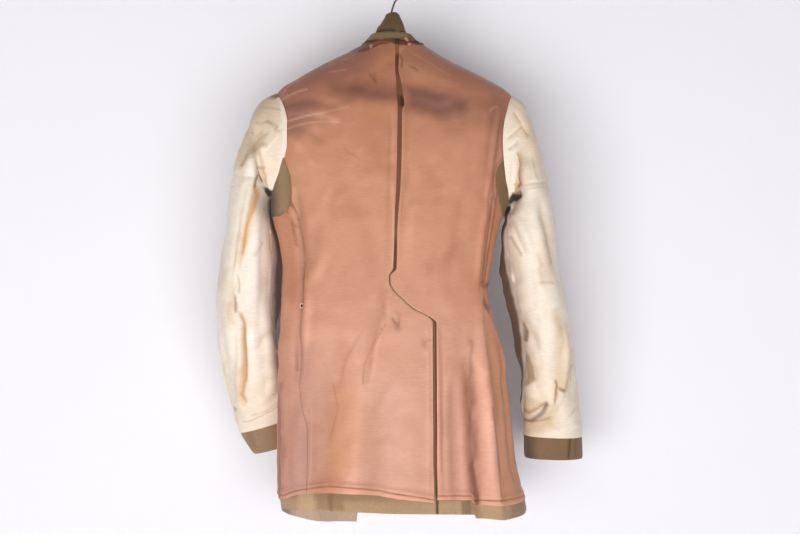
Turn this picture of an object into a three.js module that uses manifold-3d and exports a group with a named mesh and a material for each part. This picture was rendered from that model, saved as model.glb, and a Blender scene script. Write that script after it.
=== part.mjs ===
// A military service coat turned inside out and hung on a wire hanger. The wool
// coat is the inner wall, and its cotton lining lies on the outside. Units are
// millimetres, +Z is up, the back of the coat faces -Y, and the origin is where
// a rail meets the top of the hanger's hook. "down" is the distance below the
// back neck seam, and left and right are seen from behind the coat.
import * as THREE from "three";
import { mergeVertices } from "three/addons/utils/BufferGeometryUtils.js";
import Module from "manifold-3d";

const wasm = await Module();
wasm.setup();

// ---- driving sizes -------------------------------------------------------
const hookToNeck = 105; // from the rail down to the back neck seam
const woolThick = 1.6;
const liningThick = 0.9;
const layerGap = 0.35; // between cloth layers that lie on each other
const seamGap = 0.5; // between pieces sewn edge to edge
const hemDown = 766; // back hem below the neck seam
const hemShow = 23; // wool that shows below the lining
const hemWarpFrom = 500; // below this the rows follow the uneven hem
const tipDown = 89; // shoulder tips below the neck seam
const frontNeckFall = 30; // how much lower the neck edge is at the front
const collarThick = 3;
const wireRadius = 1.7;
const buttonRadius = 11;
const buttonLift = 0.9; // button shank off the wool's curved face
const buttonInset = 24; // from the left front edge
const buttonRows = [250, 340, 430, 520]; // levels of the buttons

// ---- tables --------------------------------------------------------------
// Body outline at each level: side edges, depth of back and front, squareness.
const body = [
  { down: 0, left: -62, right: 38, back: 28, front: 28, power: 2 },
  { down: 14, left: -83, right: 55, back: 35, front: 32, power: 2 },
  { down: 28, left: -112, right: 78, back: 42, front: 37, power: 2.05 },
  { down: 44, left: -143, right: 110, back: 49, front: 42, power: 2.1 },
  { down: 61, left: -173, right: 143, back: 55, front: 47, power: 2.15 },
  { down: 78, left: -199, right: 174, back: 60, front: 51, power: 2.2 },
  { down: 89, left: -205, right: 184, back: 63, front: 54, power: 2.2 },
  { down: 121, left: -207, right: 188, back: 69, front: 59, power: 2.3 },
  { down: 161, left: -208, right: 188, back: 74, front: 64, power: 2.3 },
  { down: 201, left: -210, right: 187, back: 78, front: 69, power: 2.3 },
  { down: 241, left: -212, right: 184, back: 80, front: 72, power: 2.3 },
  { down: 289, left: -209, right: 169, back: 80, front: 74, power: 2.3 },
  { down: 336, left: -199, right: 158, back: 75, front: 72, power: 2.3 },
  { down: 376, left: -194, right: 150, back: 70, front: 69, power: 2.3 },
  { down: 411, left: -195, right: 146, back: 67, front: 67, power: 2.3 },
  { down: 441, left: -197, right: 150, back: 67, front: 68, power: 2.3 },
  { down: 476, left: -199, right: 161, back: 70, front: 70, power: 2.3 },
  { down: 516, left: -201, right: 172, back: 74, front: 72, power: 2.3 },
  { down: 576, left: -203, right: 179, back: 79, front: 75, power: 2.3 },
  { down: 636, left: -203, right: 185, back: 83, front: 77, power: 2.3 },
  { down: 696, left: -203, right: 192, back: 86, front: 79, power: 2.3 },
  { down: 736, left: -202, right: 201, back: 88, front: 80, power: 2.3 },
  { down: 800, left: -196, right: 213, back: 90, front: 82, power: 2.3 },
];
// Centre line of the wool back, as x at each level.
const centreSeam = [
  { down: 0, x: -2.3 },
  { down: 378, x: -8.3 },
  { down: 386, x: -17 },
  { down: 396, x: -17 },
  { down: 408, x: -12 },
  { down: 423, x: 3 },
  { down: 439, x: 21 },
  { down: 455, x: 50 },
  { down: 462, x: 55.5 },
  { down: 800, x: 56.5 },
];
const sideBackSeam = {
  left: [
    { down: 226, x: -205 },
    { down: 241, x: -190 },
    { down: 294, x: -165 },
    { down: 358, x: -157 },
    { down: 398, x: -157 },
    { down: 441, x: -160 },
    { down: 478, x: -166 },
    { down: 549, x: -167 },
    { down: 594, x: -162 },
    { down: 639, x: -152 },
    { down: 800, x: -152 },
  ],
  right: [
    { down: 226, x: 178 },
    { down: 261, x: 165 },
    { down: 293, x: 155 },
    { down: 338, x: 148 },
    { down: 381, x: 142 },
    { down: 411, x: 139 },
    { down: 459, x: 136 },
    { down: 506, x: 142 },
    { down: 573, x: 149 },
    { down: 628, x: 155 },
    { down: 800, x: 168 },
  ],
};
const frontEdge = {
  left: [
    { down: 20, x: -24 },
    { down: 146, x: -40 },
    { down: 296, x: -60 },
    { down: 496, x: -74 },
    { down: 810, x: -79 },
  ],
  right: [
    { down: 20, x: 2 },
    { down: 146, x: 18 },
    { down: 296, x: 36 },
    { down: 496, x: 50 },
    { down: 810, x: 60 },
  ],
};
// Level of the hem round the body, by ring place (0 centre back, 2 front).
const hemLine = [
  { ring: -2, down: 812 },
  { ring: -1.6, down: 808 },
  { ring: -1, down: 778 },
  { ring: -0.75, down: 768 },
  { ring: -0.2, down: 766 },
  { ring: 0.25, down: 769 },
  { ring: 0.6, down: 776 },
  { ring: 1, down: 778 },
  { ring: 1.7, down: 792 },
  { ring: 2, down: 796 },
];
// Largest folds: ring place at top and bottom, levels, half width, depth (+ out).
const folds = [
  { name: "left skirt valley", top: -0.16, bottom: -0.33, from: 470, to: 900, wide: 46, deep: -9 },
  { name: "left skirt plane", top: -0.02, bottom: -0.1, from: 480, to: 900, wide: 40, deep: 3 },
  { name: "left side groove", top: -0.9, bottom: -0.88, from: 540, to: 790, wide: 13, deep: -9 },
  { name: "left seam fold", top: -0.56, bottom: -0.58, from: 430, to: 640, wide: 15, deep: -5 },
  { name: "left corner roll", top: -0.62, bottom: -0.56, from: 590, to: 900, wide: 16, deep: 5 },
  { name: "right flute", top: 0.43, bottom: 0.42, from: 480, to: 900, wide: 17, deep: -10 },
  { name: "right flute crest", top: 0.56, bottom: 0.52, from: 500, to: 900, wide: 17, deep: 6 },
  { name: "right edge fold", top: 0.84, bottom: 0.8, from: 480, to: 770, wide: 12, deep: -6 },
  { name: "right shoulder fold", top: 0.66, bottom: 0.6, from: 90, to: 300, wide: 11, deep: -4 },
  { name: "left front fold", top: -1.42, bottom: -1.5, from: 420, to: 900, wide: 26, deep: -9 },
  { name: "left front crest", top: -1.3, bottom: -1.26, from: 450, to: 900, wide: 26, deep: 7 },
  { name: "right front fold", top: 1.4, bottom: 1.46, from: 400, to: 900, wide: 28, deep: -10 },
  { name: "right front crest", top: 1.62, bottom: 1.66, from: 430, to: 900, wide: 26, deep: 6 },
];
const fadeLength = 90; // over which a fold grows to its depth

// Armholes: centre level, half height, half depth.
const armholes = {
  left: { side: -1, down: 171, half: 82, deep: 38 },
  right: { side: 1, down: 178, half: 89, deep: 38 },
};
// Sleeve rings of the wool: outer and inner edge (x, down), centre y, half depth.
const sleeves = {
  left: [
    { outX: -184, outDown: 78, inX: -186, inDown: 254, y: 0, deep: 42 },
    { outX: -227, outDown: 97, inX: -216, inDown: 252, y: 0, deep: 44 },
    { outX: -246, outDown: 129, inX: -220, inDown: 254, y: 0, deep: 48 },
    { outX: -261, outDown: 165, inX: -223, inDown: 260, y: 0, deep: 53 },
    { outX: -273, outDown: 207, inX: -224, inDown: 270, y: 2, deep: 57 },
    { outX: -281, outDown: 261, inX: -223, inDown: 287, y: 4, deep: 60 },
    { outX: -287, outDown: 306, inX: -219, inDown: 312, y: 8, deep: 61 },
    { outX: -297, outDown: 361, inX: -216, inDown: 358, y: 18, deep: 60 },
    { outX: -307, outDown: 437, inX: -220, inDown: 427, y: 32, deep: 57 },
    { outX: -305, outDown: 514, inX: -213, inDown: 499, y: 50, deep: 54 },
    { outX: -295, outDown: 571, inX: -203, inDown: 551, y: 66, deep: 50 },
    { outX: -282, outDown: 626, inX: -190, inDown: 600, y: 80, deep: 47 },
    { outX: -277, outDown: 656, inX: -180, inDown: 627, y: 88, deep: 45 },
    { outX: -254, outDown: 696, inX: -160, inDown: 668, y: 97, deep: 44 },
  ],
  right: [
    { outX: 160, outDown: 80, inX: 160, inDown: 268, y: 0, deep: 42 },
    { outX: 200, outDown: 99, inX: 188, inDown: 267, y: 0, deep: 44 },
    { outX: 215, outDown: 133, inX: 190, inDown: 270, y: 0, deep: 48 },
    { outX: 227, outDown: 169, inX: 190, inDown: 276, y: 0, deep: 53 },
    { outX: 237, outDown: 209, inX: 187, inDown: 285, y: -2, deep: 56 },
    { outX: 246, outDown: 259, inX: 181, inDown: 297, y: -4, deep: 59 },
    { outX: 252, outDown: 307, inX: 177, inDown: 320, y: -5, deep: 60 },
    { outX: 260, outDown: 364, inX: 184, inDown: 364, y: 0, deep: 58 },
    { outX: 273, outDown: 428, inX: 199, inDown: 428, y: 10, deep: 56 },
    { outX: 288, outDown: 497, inX: 212, inDown: 497, y: 24, deep: 53 },
    { outX: 297, outDown: 561, inX: 213, inDown: 561, y: 38, deep: 50 },
    { outX: 304, outDown: 623, inX: 212, inDown: 623, y: 50, deep: 47 },
    { outX: 311, outDown: 665, inX: 212, inDown: 661, y: 58, deep: 45 },
    { outX: 313, outDown: 698, inX: 213, inDown: 696, y: 64, deep: 44 },
  ],
};
// Sleeve row numbers where the lining ends and where the bands begin and end.
const sleeveEnds = {
  left: { lining: 11.52, bandFrom: 11.36, bandTo: 12.05, woolFrom: 10.4, woolTo: 13 },
  right: { lining: 11.46, bandFrom: 11.3, bandTo: 11.88, woolFrom: 10.4, woolTo: 13 },
};
const sleeveSeam = 75; // degrees round from the outer edge, back and front
const sleeveLiningLow = 1.6; // sleeve lining outside the wool, clear of the band
const sleeveLiningHigh = 3;
// Underarm shields on the back of the body, as x and level of their corners.
const shields = {
  left: [
    { x: -212, down: 190 },
    { x: -195, down: 196 },
    { x: -184, down: 235 },
    { x: -182, down: 262 },
    { x: -191, down: 279 },
    { x: -214, down: 283 },
    { x: -240, down: 250 },
  ],
  right: [
    { x: 200, down: 190 },
    { x: 166, down: 192 },
    { x: 160, down: 222 },
    { x: 160, down: 247 },
    { x: 165, down: 280 },
    { x: 172, down: 288 },
    { x: 215, down: 262 },
  ],
};
// Edges of the split along the centre back of the lining, as x at each level.
const liningSplit = {
  left: [
    { down: 0, x: -7.5 },
    { down: 50, x: -7.7 },
    { down: 66, x: -6 },
    { down: 94, x: -5.5 },
    { down: 108, x: -3.6 },
    { down: 180, x: -4.4 },
    { down: 243, x: -6 },
    { down: 276, x: -7.7 },
    { down: 344, x: -9.5 },
    { down: 374, x: -11 },
    { down: 386, x: -17.6 },
    { down: 396, x: -17.6 },
    { down: 408, x: -12.6 },
    { down: 423, x: 2.4 },
    { down: 439, x: 20.4 },
    { down: 455, x: 49.2 },
    { down: 462, x: 53 },
    { down: 800, x: 53.5 },
  ],
  right: [
    { down: 0, x: -1.5 },
    { down: 50, x: -2.8 },
    { down: 66, x: 0.5 },
    { down: 94, x: 5.2 },
    { down: 108, x: 6.8 },
    { down: 118, x: 3.2 },
    { down: 180, x: 2.6 },
    { down: 243, x: 0.3 },
    { down: 276, x: -2.3 },
    { down: 308, x: -4.4 },
    { down: 344, x: -5 },
    { down: 374, x: -6 },
    { down: 386, x: -15.6 },
    { down: 396, x: -15.4 },
    { down: 408, x: -10 },
    { down: 423, x: 5 },
    { down: 439, x: 23.4 },
    { down: 455, x: 52.6 },
    { down: 462, x: 58.6 },
    { down: 800, x: 59 },
  ],
};
const ventStrip = { left: 20, right: 78, from: 486 };
// Inner edge of the facings on the front, as x at each level.
const facingLine = {
  left: [
    { down: 20, x: -58 },
    { down: 110, x: -110 },
    { down: 300, x: -132 },
    { down: 810, x: -136 },
  ],
  right: [
    { down: 20, x: 34 },
    { down: 110, x: 84 },
    { down: 300, x: 100 },
    { down: 810, x: 118 },
  ],
};
// Seams of the hidden side, as x at each level.
const sideFrontSeam = {
  left: [
    { down: 226, x: -205 },
    { down: 260, x: -178 },
    { down: 320, x: -160 },
    { down: 400, x: -152 },
    { down: 800, x: -160 },
  ],
  right: [
    { down: 226, x: 180 },
    { down: 260, x: 156 },
    { down: 320, x: 136 },
    { down: 400, x: 122 },
    { down: 800, x: 160 },
  ],
};
// Collar levels: side edges, half depth, level at the back and at the front.
const stand = [
  { left: -60, right: 34, deep: 28, back: -0.85, front: 28.9 },
  { left: -56, right: 27, deep: 27, back: -6, front: 22 },
  { left: -50.5, right: 20.5, deep: 25, back: -12.5, front: 12 },
  { left: -45, right: 15, deep: 22, back: -18.5, front: 2 },
];
const leaf = [
  { left: -41.5, right: 11.5, deep: 18.6, back: -17.5, front: 3 },
  { left: -37, right: 8, deep: 17, back: -27, front: -8 },
  { left: -30.5, right: 4.5, deep: 14.5, back: -36, front: -20 },
  { left: -25.5, right: 1, deep: 12, back: -44, front: -33 },
  { left: -21, right: -2.5, deep: 9.5, back: -52, front: -46 },
];
const collarEnd = 1.8; // ring place where the collar stops at the front
// Centre line of the hanger's wire: hook from its tip, and frame from the twist.
const hookPath = [
  [-12, -22], [-14.7, -13], [-10.4, -2.6], [0, 1.7], [10.4, -2.6], [14.7, -13],
  [11, -22.5], [3, -28], [-5, -31], [-9, -36], [-11.5, -43], [-14, -52], [-18, -88],
];
const framePath = [
  [-18, -87], [-40, -100], [-100, -132.7], [-160, -166.1], [-178, -177.4], [-186, -186],
  [-180, -193], [-170, -194], [-10, -194], [150, -194], [160, -193], [165, -186], [158, -180],
  [140, -169.6], [90, -144.6], [40, -118.1], [4, -98.8], [-18, -87],
];

// ---- helpers -------------------------------------------------------------
const clamp01 = (t) => Math.min(1, Math.max(0, t));
const smooth = (t) => clamp01(t) ** 2 * (3 - 2 * clamp01(t));
const lerp = (a, b, t) => a + (b - a) * t;

// Smooth value of a column at a place between the rows of a table.
function track(table, by, column, at) {
  const n = table.length;
  if (at <= table[0][by]) return table[0][column];
  if (at >= table[n - 1][by]) return table[n - 1][column];
  let i = 0;
  while (table[i + 1][by] < at) i++;
  const rate = (k) => (table[k + 1][column] - table[k][column]) / (table[k + 1][by] - table[k][by]);
  const slope = (k) => {
    if (k === 0 || k === n - 1) return 0;
    const [before, after] = [rate(k - 1), rate(k)];
    return before * after > 0 ? (2 * before * after) / (before + after) : 0;
  };
  const h = table[i + 1][by] - table[i][by];
  const t = (at - table[i][by]) / h;
  const start = table[i][column] * (1 + 2 * t) + h * slope(i) * t;
  const end = table[i + 1][column] * (3 - 2 * t) - h * slope(i + 1) * (1 - t);
  return start * (1 - t) ** 2 + end * t ** 2;
}
const levelZ = (down) => -(hookToNeck + down);

// ---- the body's surface: ring place 0 centre back, -1 left, 1 right, 2 front
function sectionAt(down) {
  const [left, right] = [track(body, "down", "left", down), track(body, "down", "right", down)];
  return {
    mid: (left + right) / 2,
    half: (right - left) / 2,
    back: track(body, "down", "back", down),
    front: track(body, "down", "front", down),
    power: track(body, "down", "power", down),
  };
}
function ringPoint(section, place) {
  const ring = Math.abs(place) > 2 ? place - 4 * Math.sign(place) : place;
  const size = Math.abs(ring);
  const turn = ((size <= 1 ? size : 2 - size) * Math.PI) / 2;
  const x = section.mid + Math.sign(ring) * section.half * Math.sin(turn) ** (2 / section.power);
  const deep = Math.cos(turn) ** (2 / section.power);
  return [x, size <= 1 ? -section.back * deep : section.front * deep];
}
function foldDepth(ring, down, section) {
  let sum = 0;
  for (const f of folds) {
    const grow = smooth((down - f.from) / fadeLength) * smooth((f.to - down) / fadeLength);
    const centre = lerp(f.top, f.bottom, smooth((down - f.from) / (f.to - f.from)));
    const away = ((ring - centre) * section.half * 1.2) / f.wide;
    sum += f.deep * grow * Math.exp(-away * away);
  }
  return sum;
}
const frontFall = (ring) => frontNeckFall * smooth((Math.abs(ring) - 1) / 0.8);
// A level on the plain rows, moved to follow the hem and the front neck edge.
function warped(down, ring) {
  const hem = track(hemLine, "ring", "down", ring) - hemDown;
  const low = clamp01((down - hemWarpFrom) / (hemDown - hemWarpFrom));
  return down + hem * low + frontFall(ring) * clamp01(1 - down / tipDown);
}
function bodyPoint(ring, row) {
  const down = warped(row, ring);
  const section = sectionAt(down);
  const step = 0.004;
  const [x, y] = ringPoint(section, ring);
  const [x0, y0] = ringPoint(section, ring - step);
  const [x1, y1] = ringPoint(section, ring + step);
  const along = Math.hypot(x1 - x0, y1 - y0);
  const deep = foldDepth(ring, down, section);
  return new THREE.Vector3(
    x + ((y1 - y0) / along) * deep,
    y - ((x1 - x0) / along) * deep,
    levelZ(down),
  );
}

// ---- walls and solids ----------------------------------------------------
const { Manifold, Mesh: SolidMesh } = wasm;
// A point of a surface, moved out along its normal.
function lifted(surface, a, b, steps, out) {
  const alongA = surface(a + steps[0], b).sub(surface(a - steps[0], b));
  const alongB = surface(a, b + steps[1]).sub(surface(a, b - steps[1]));
  const normal = alongB.cross(alongA).normalize();
  return surface(a, b).addScaledVector(normal, out);
}
// A closed solid from a list of points and triangles.
function solid(points, triangles) {
  const mesh = new SolidMesh({
    numProp: 3,
    vertProperties: new Float32Array(points.flatMap((p) => p.toArray())),
    triVerts: new Uint32Array(triangles.flat()),
  });
  const made = Manifold.ofMesh(mesh);
  if (made.volume() > 0) return made;
  return solid(points, triangles.map(([p, q, r]) => [p, r, q]));
}
// A cloth wall over a grid: the surface at each pair of places (a, b), between
// two distances along its normal. A closed wall joins its last column to the first.
function wall(surface, places, rows, low, high, steps, closed = false) {
  const [n, m] = [places.length, rows.length];
  const points = [low, high].flatMap((out) =>
    rows.flatMap((b) => places.map((a) => lifted(surface, a, b, steps, out))),
  );
  const triangles = [];
  const quad = (p, q, r, s) => triangles.push([p, q, r], [p, r, s]);
  const at = (layer, i, j) => layer * n * m + j * n + (i % n);
  const last = closed ? n : n - 1;
  for (let j = 0; j + 1 < m; j++)
    for (let i = 0; i < last; i++) {
      quad(at(1, i, j), at(1, i, j + 1), at(1, i + 1, j + 1), at(1, i + 1, j));
      quad(at(0, i, j), at(0, i + 1, j), at(0, i + 1, j + 1), at(0, i, j + 1));
    }
  for (let i = 0; i < last; i++) {
    quad(at(0, i, 0), at(1, i, 0), at(1, i + 1, 0), at(0, i + 1, 0));
    quad(at(1, i, m - 1), at(0, i, m - 1), at(0, i + 1, m - 1), at(1, i + 1, m - 1));
  }
  if (!closed)
    for (let j = 0; j + 1 < m; j++) {
      quad(at(0, 0, j), at(0, 0, j + 1), at(1, 0, j + 1), at(1, 0, j));
      quad(at(1, n - 1, j), at(1, n - 1, j + 1), at(0, n - 1, j + 1), at(0, n - 1, j));
    }
  return solid(points, triangles);
}
// The space inside a tube-like surface, closed by a flat fan at each end.
function filled(surface, places, rows, out, steps) {
  const [n, m] = [places.length, rows.length];
  const points = rows.flatMap((b) => places.map((a) => lifted(surface, a, b, steps, out)));
  const middle = (j) => {
    const sum = new THREE.Vector3();
    for (let i = 0; i < n; i++) sum.add(points[j * n + i]);
    return sum.divideScalar(n);
  };
  points.push(middle(0), middle(m - 1));
  const triangles = [];
  const at = (i, j) => j * n + (i % n);
  for (let i = 0; i < n; i++) {
    for (let j = 0; j + 1 < m; j++) {
      triangles.push([at(i, j), at(i, j + 1), at(i + 1, j + 1)]);
      triangles.push([at(i, j), at(i + 1, j + 1), at(i + 1, j)]);
    }
    triangles.push([at(i, 0), at(i + 1, 0), n * m]);
    triangles.push([at(i + 1, m - 1), at(i, m - 1), n * m + 1]);
  }
  return solid(points, triangles);
}
// A flat outline in x and z, extruded in y.
function prism(outline, fromY, toY) {
  const shape = new wasm.CrossSection([outline], "NonZero");
  return shape.extrude(toY - fromY).rotate([90, 0, 0]).translate([0, toY, 0]);
}
// The gap of a seam that follows one or two lines of x at each level.
function seam(leftLine, rightLine, gap, fromY, toY, fromDown, toDown) {
  const inside = [...leftLine, ...rightLine].map((row) => row.down);
  const levels = [...new Set([fromDown, ...inside, toDown])]
    .filter((down) => down >= fromDown && down <= toDown)
    .sort((a, b) => a - b);
  const side = (table, way) =>
    levels.map((down) => [track(table, "down", "x", down) + (way * gap) / 2, levelZ(down)]);
  return prism([...side(leftLine, -1), ...side(rightLine, 1).reverse()], fromY, toY);
}
const wire = (path, steps) => {
  const at = path.map(([x, z]) => new THREE.Vector3(x, 0, z));
  const curve = new THREE.CatmullRomCurve3(at, false, "centripetal");
  const circle = new THREE.Shape().absarc(0, 0, wireRadius, 0, 2 * Math.PI);
  const settings = { steps, curveSegments: 3, extrudePath: curve, bevelEnabled: false };
  return fromGeometry(new THREE.ExtrudeGeometry(circle, settings));
};
function fromGeometry(geometry) {
  const bare = new THREE.BufferGeometry().setAttribute("position", geometry.getAttribute("position"));
  const merged = mergeVertices(bare, 1e-4);
  const position = merged.getAttribute("position");
  const points = [...Array(position.count).keys()].map((i) =>
    new THREE.Vector3().fromBufferAttribute(position, i),
  );
  const index = merged.getIndex().array;
  const triangles = [];
  for (let i = 0; i < index.length; i += 3) triangles.push([index[i], index[i + 1], index[i + 2]]);
  return solid(points, triangles);
}

// ---- materials and the group ---------------------------------------------
const coat = new THREE.Group();
const looks = {
  wool: { color: 0x7d6446, roughness: 0.95, metalness: 0 },
  lining: { color: 0xc88a6c, roughness: 0.55, metalness: 0 },
  sleeveLining: { color: 0xead8bf, roughness: 0.5, metalness: 0 },
  wire: { color: 0xb9bcc2, roughness: 0.25, metalness: 1 },
  button: { color: 0x6a5330, roughness: 0.4, metalness: 0.8 },
};
function add(name, made, look) {
  const { numProp, vertProperties, triVerts } = made.getMesh();
  const position = new Float32Array(triVerts.length * 3);
  triVerts.forEach((v, i) => {
    for (let c = 0; c < 3; c++) position[i * 3 + c] = vertProperties[v * numProp + c];
  });
  const geometry = new THREE.BufferGeometry();
  geometry.setAttribute("position", new THREE.BufferAttribute(position, 3));
  const mesh = new THREE.Mesh(geometry, new THREE.MeshStandardMaterial(looks[look]));
  mesh.name = name;
  coat.add(mesh);
}
const biggest = (made) =>
  made.decompose().reduce((best, piece) => (piece.volume() > best.volume() ? piece : best));

// ---- body ----------------------------------------------------------------
const bodySteps = [0.003, 0.6];
const sleeveRows = [0, 0.6, 1, 2, 3, 4, 5, 6, 7, 8, 9, 10, 11, 12, 13];
const smallest = 200; // cut-off scraps of cloth under this volume are left out
const trimTolerance = 0.1;
const frontMiddle = { left: -45, right: 20 }; // only the facings reach between these
const shieldLow = layerGap + liningThick + layerGap;
const shieldThick = 1.2;
const bodyRings = [
  -1.96, -1.84, -1.7, -1.56, -1.45, -1.34, -1.25, -1.14, -1.05, -1, -0.94, -0.88, -0.82, -0.74,
  -0.66, -0.61, -0.57, -0.52, -0.42, -0.32, -0.2, -0.06, 0.08, 0.22, 0.33, 0.38, 0.43, 0.49,
  0.56, 0.64, 0.72, 0.78, 0.84, 0.9, 0.95, 1, 1.07, 1.18, 1.3, 1.4, 1.5, 1.62, 1.76, 1.96,
];
const bodyRows = [
  0, 14, 44, 78, 89, 125, 165, 205, 250, 295, 336, 376, 430, 494, 560, 650,
  hemDown - hemShow, hemDown,
];
const liningRows = bodyRows.slice(0, -1);
const liningLow = layerGap;
const liningHigh = layerGap + liningThick;
const far = 300; // well outside the coat
const aboveNeck = -20; // levels above and below all of the body
const belowHem = 830;
const sideSeamTop = 215; // inside the armhole

const armholeCut = ({ side, down, half, deep }) =>
  Manifold.cylinder(far, 1, 1, 48)
    .scale([half, deep, 1])
    .rotate([0, 90 * side, 0])
    .translate([150 * side, 0, levelZ(down)]);
const opening = seam(frontEdge.left, frontEdge.right, 0, 0, far, aboveNeck, belowHem);
const shoulderCut = Manifold.cube([600, seamGap, 160], true).translate([0, 0, levelZ(40)]);
const common = [
  ...Object.values(armholes).map(armholeCut),
  opening,
  shoulderCut,
  ...["left", "right"].flatMap((which) => [
    seam(sideBackSeam[which], sideBackSeam[which], seamGap, -far, 0, sideSeamTop, belowHem),
    seam(sideFrontSeam[which], sideFrontSeam[which], seamGap, 0, far, sideSeamTop, belowHem),
  ]),
];
// Cut a wall into panels and name each by where it lies.
function panels(low, high, rows, cuts, nameOf) {
  const whole = wall(bodyPoint, bodyRings, rows, low, high, bodySteps);
  for (const piece of whole.subtract(Manifold.union(cuts)).decompose()) {
    if (piece.volume() < smallest) continue;
    const { min, max } = piece.boundingBox();
    const x = (min[0] + max[0]) / 2;
    const back = min[1] < -30;
    const side = max[2] < levelZ(150);
    const facing = !back && !side && min[0] < frontMiddle.right && max[0] > frontMiddle.left;
    const { name, look } = nameOf({ back, side, facing });
    add(`${name}_${x < -5 ? "left" : "right"}`, piece.simplify(trimTolerance), look);
  }
}
const partOf = ({ back, side }) => (side ? "side" : back ? "back" : "front");

// Wool, with its centre back seam and the slanting top of the vent.
panels(
  -woolThick,
  0,
  bodyRows,
  [...common, seam(centreSeam, centreSeam, seamGap, -far, 0, aboveNeck, belowHem)],
  (place) => ({ name: partOf(place), look: "wool" }),
);
// Lining and facings, with the split along the centre back.
panels(
  liningLow,
  liningHigh,
  liningRows,
  [
    ...common,
    seam(liningSplit.left, liningSplit.right, 0, -far, 0, aboveNeck, belowHem),
    seam(facingLine.left, facingLine.left, seamGap, 0, far, aboveNeck, belowHem),
    seam(facingLine.right, facingLine.right, seamGap, 0, far, aboveNeck, belowHem),
  ],
  (place) =>
    place.facing
      ? { name: "facing", look: "wool" }
      : { name: `lining_${partOf(place)}`, look: "lining" },
);
// A strip of wool behind the open edges of the vent.
const stripHigh = -woolThick - layerGap;
const stripRows = bodyRows.filter((down) => down >= ventStrip.from);
const strip = wall(bodyPoint, bodyRings, stripRows, stripHigh - 1.4, stripHigh, bodySteps);
const stripArea = prism(
  [
    [ventStrip.left, levelZ(ventStrip.from)],
    [ventStrip.left, levelZ(belowHem)],
    [ventStrip.right, levelZ(belowHem)],
    [ventStrip.right, levelZ(ventStrip.from)],
  ],
  -far,
  0,
);
add("vent_underlap", biggest(strip.intersect(stripArea)).simplify(trimTolerance), "wool");

// ---- sleeves -------------------------------------------------------------
const sleeveSteps = [0.5, 0.02];
const ringOfTube = (rows, at) => {
  const value = (column) => track(rows, "at", column, at);
  return { out: [value("outX"), value("outDown")], into: [value("inX"), value("inDown")],
    y: value("y"), deep: value("deep") };
};
// Degrees round from the outer edge, by way of the back, and sleeve row number.
function sleevePoint(which) {
  const rows = sleeves[which].map((row, at) => ({ ...row, at }));
  return (degrees, at) => {
    const { out, into, y, deep } = ringOfTube(rows, at);
    const turn = (degrees * Math.PI) / 180;
    const share = (1 + Math.cos(turn)) / 2;
    const x = lerp(into[0], out[0], share);
    const z = lerp(levelZ(into[1]), levelZ(out[1]), share);
    return new THREE.Vector3(x, y - deep * Math.sin(turn), z);
  };
}
const around = (from, to, count) =>
  Array.from({ length: count }, (_, i) => lerp(from, to, i / (count - 1)));
const seamTrim = 0.35; // degrees taken off each side of a sleeve seam
function seamTrimmed(from, to, count) {
  const places = around(from, to, count);
  places[0] += seamTrim;
  places[count - 1] -= seamTrim;
  return places;
}
const outOfTube = (which) => (armholes[which].side < 0 ? 1 : -1);
const bodySpace = filled(bodyPoint, [...bodyRings, 2], bodyRows, liningHigh + seamGap, bodySteps);
const shieldHigh = shieldLow + shieldThick;
const shieldLayer = wall(bodyPoint, bodyRings, liningRows, shieldLow, shieldHigh, bodySteps);
for (const which of ["left", "right"]) {
  const point = sleevePoint(which);
  const way = outOfTube(which);
  const ends = sleeveEnds[which];
  const rows = [...sleeveRows.filter((at) => at < ends.bandFrom - 0.1), ends.bandFrom, ends.lining];
  const cuts = {
    top: seamTrimmed(-sleeveSeam, sleeveSeam, 11),
    under: seamTrimmed(sleeveSeam, 360 - sleeveSeam, 15),
  };
  const pair = (low, high) => (way > 0 ? [low, high] : [-high, -low]);
  const space = filled(point, around(0, 345, 24), sleeveRows, way * (sleeveLiningHigh + seamGap),
    sleeveSteps);
  const outline = shields[which].map(({ x, down }) => [x, levelZ(down)]);
  const shield = shieldLayer.intersect(prism(outline, -far, far)).subtract(space);
  add(`shield_${which}`, biggest(shield).simplify(trimTolerance), "wool");
  for (const [name, places] of Object.entries(cuts)) {
    const tube = wall(point, places, rows, ...pair(sleeveLiningLow, sleeveLiningHigh), sleeveSteps);
    add(`sleeve_${name}_${which}`, biggest(tube.subtract(bodySpace)).simplify(trimTolerance),
      "sleeveLining");
  }
  const loop = around(0, 345, 24);
  const band = [ends.bandFrom, ends.lining, ends.bandTo];
  add(`cuff_band_${which}`,
    wall(point, loop, band, ...pair(layerGap, layerGap + 0.9), sleeveSteps, true), "sleeveLining");
  const cuff = [ends.woolFrom, ends.bandFrom, ends.lining, ends.bandTo, ends.woolTo];
  add(`cuff_${which}`, wall(point, loop, cuff, ...pair(-woolThick, 0), sleeveSteps, true), "wool");
}

// ---- collar --------------------------------------------------------------
function collarPoint(table) {
  const rows = table.map((row, at) => ({ ...row, at }));
  return (ring, at) => {
    const value = (column) => track(rows, "at", column, at);
    const section = { mid: (value("left") + value("right")) / 2,
      half: (value("right") - value("left")) / 2,
      back: value("deep"), front: value("deep"), power: 2 };
    const [x, y] = ringPoint(section, ring);
    const down = lerp(value("back"), value("front"), frontFall(ring) / frontNeckFall);
    return new THREE.Vector3(x, y, levelZ(down));
  };
}
const collarRings = around(-collarEnd, collarEnd, 23);
for (const [name, table] of Object.entries({ collar_stand: stand, collar_leaf: leaf })) {
  const rows = [...table.keys()];
  add(name, wall(collarPoint(table), collarRings, rows, -collarThick, 0, [0.01, 0.02]), "wool");
}

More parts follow.
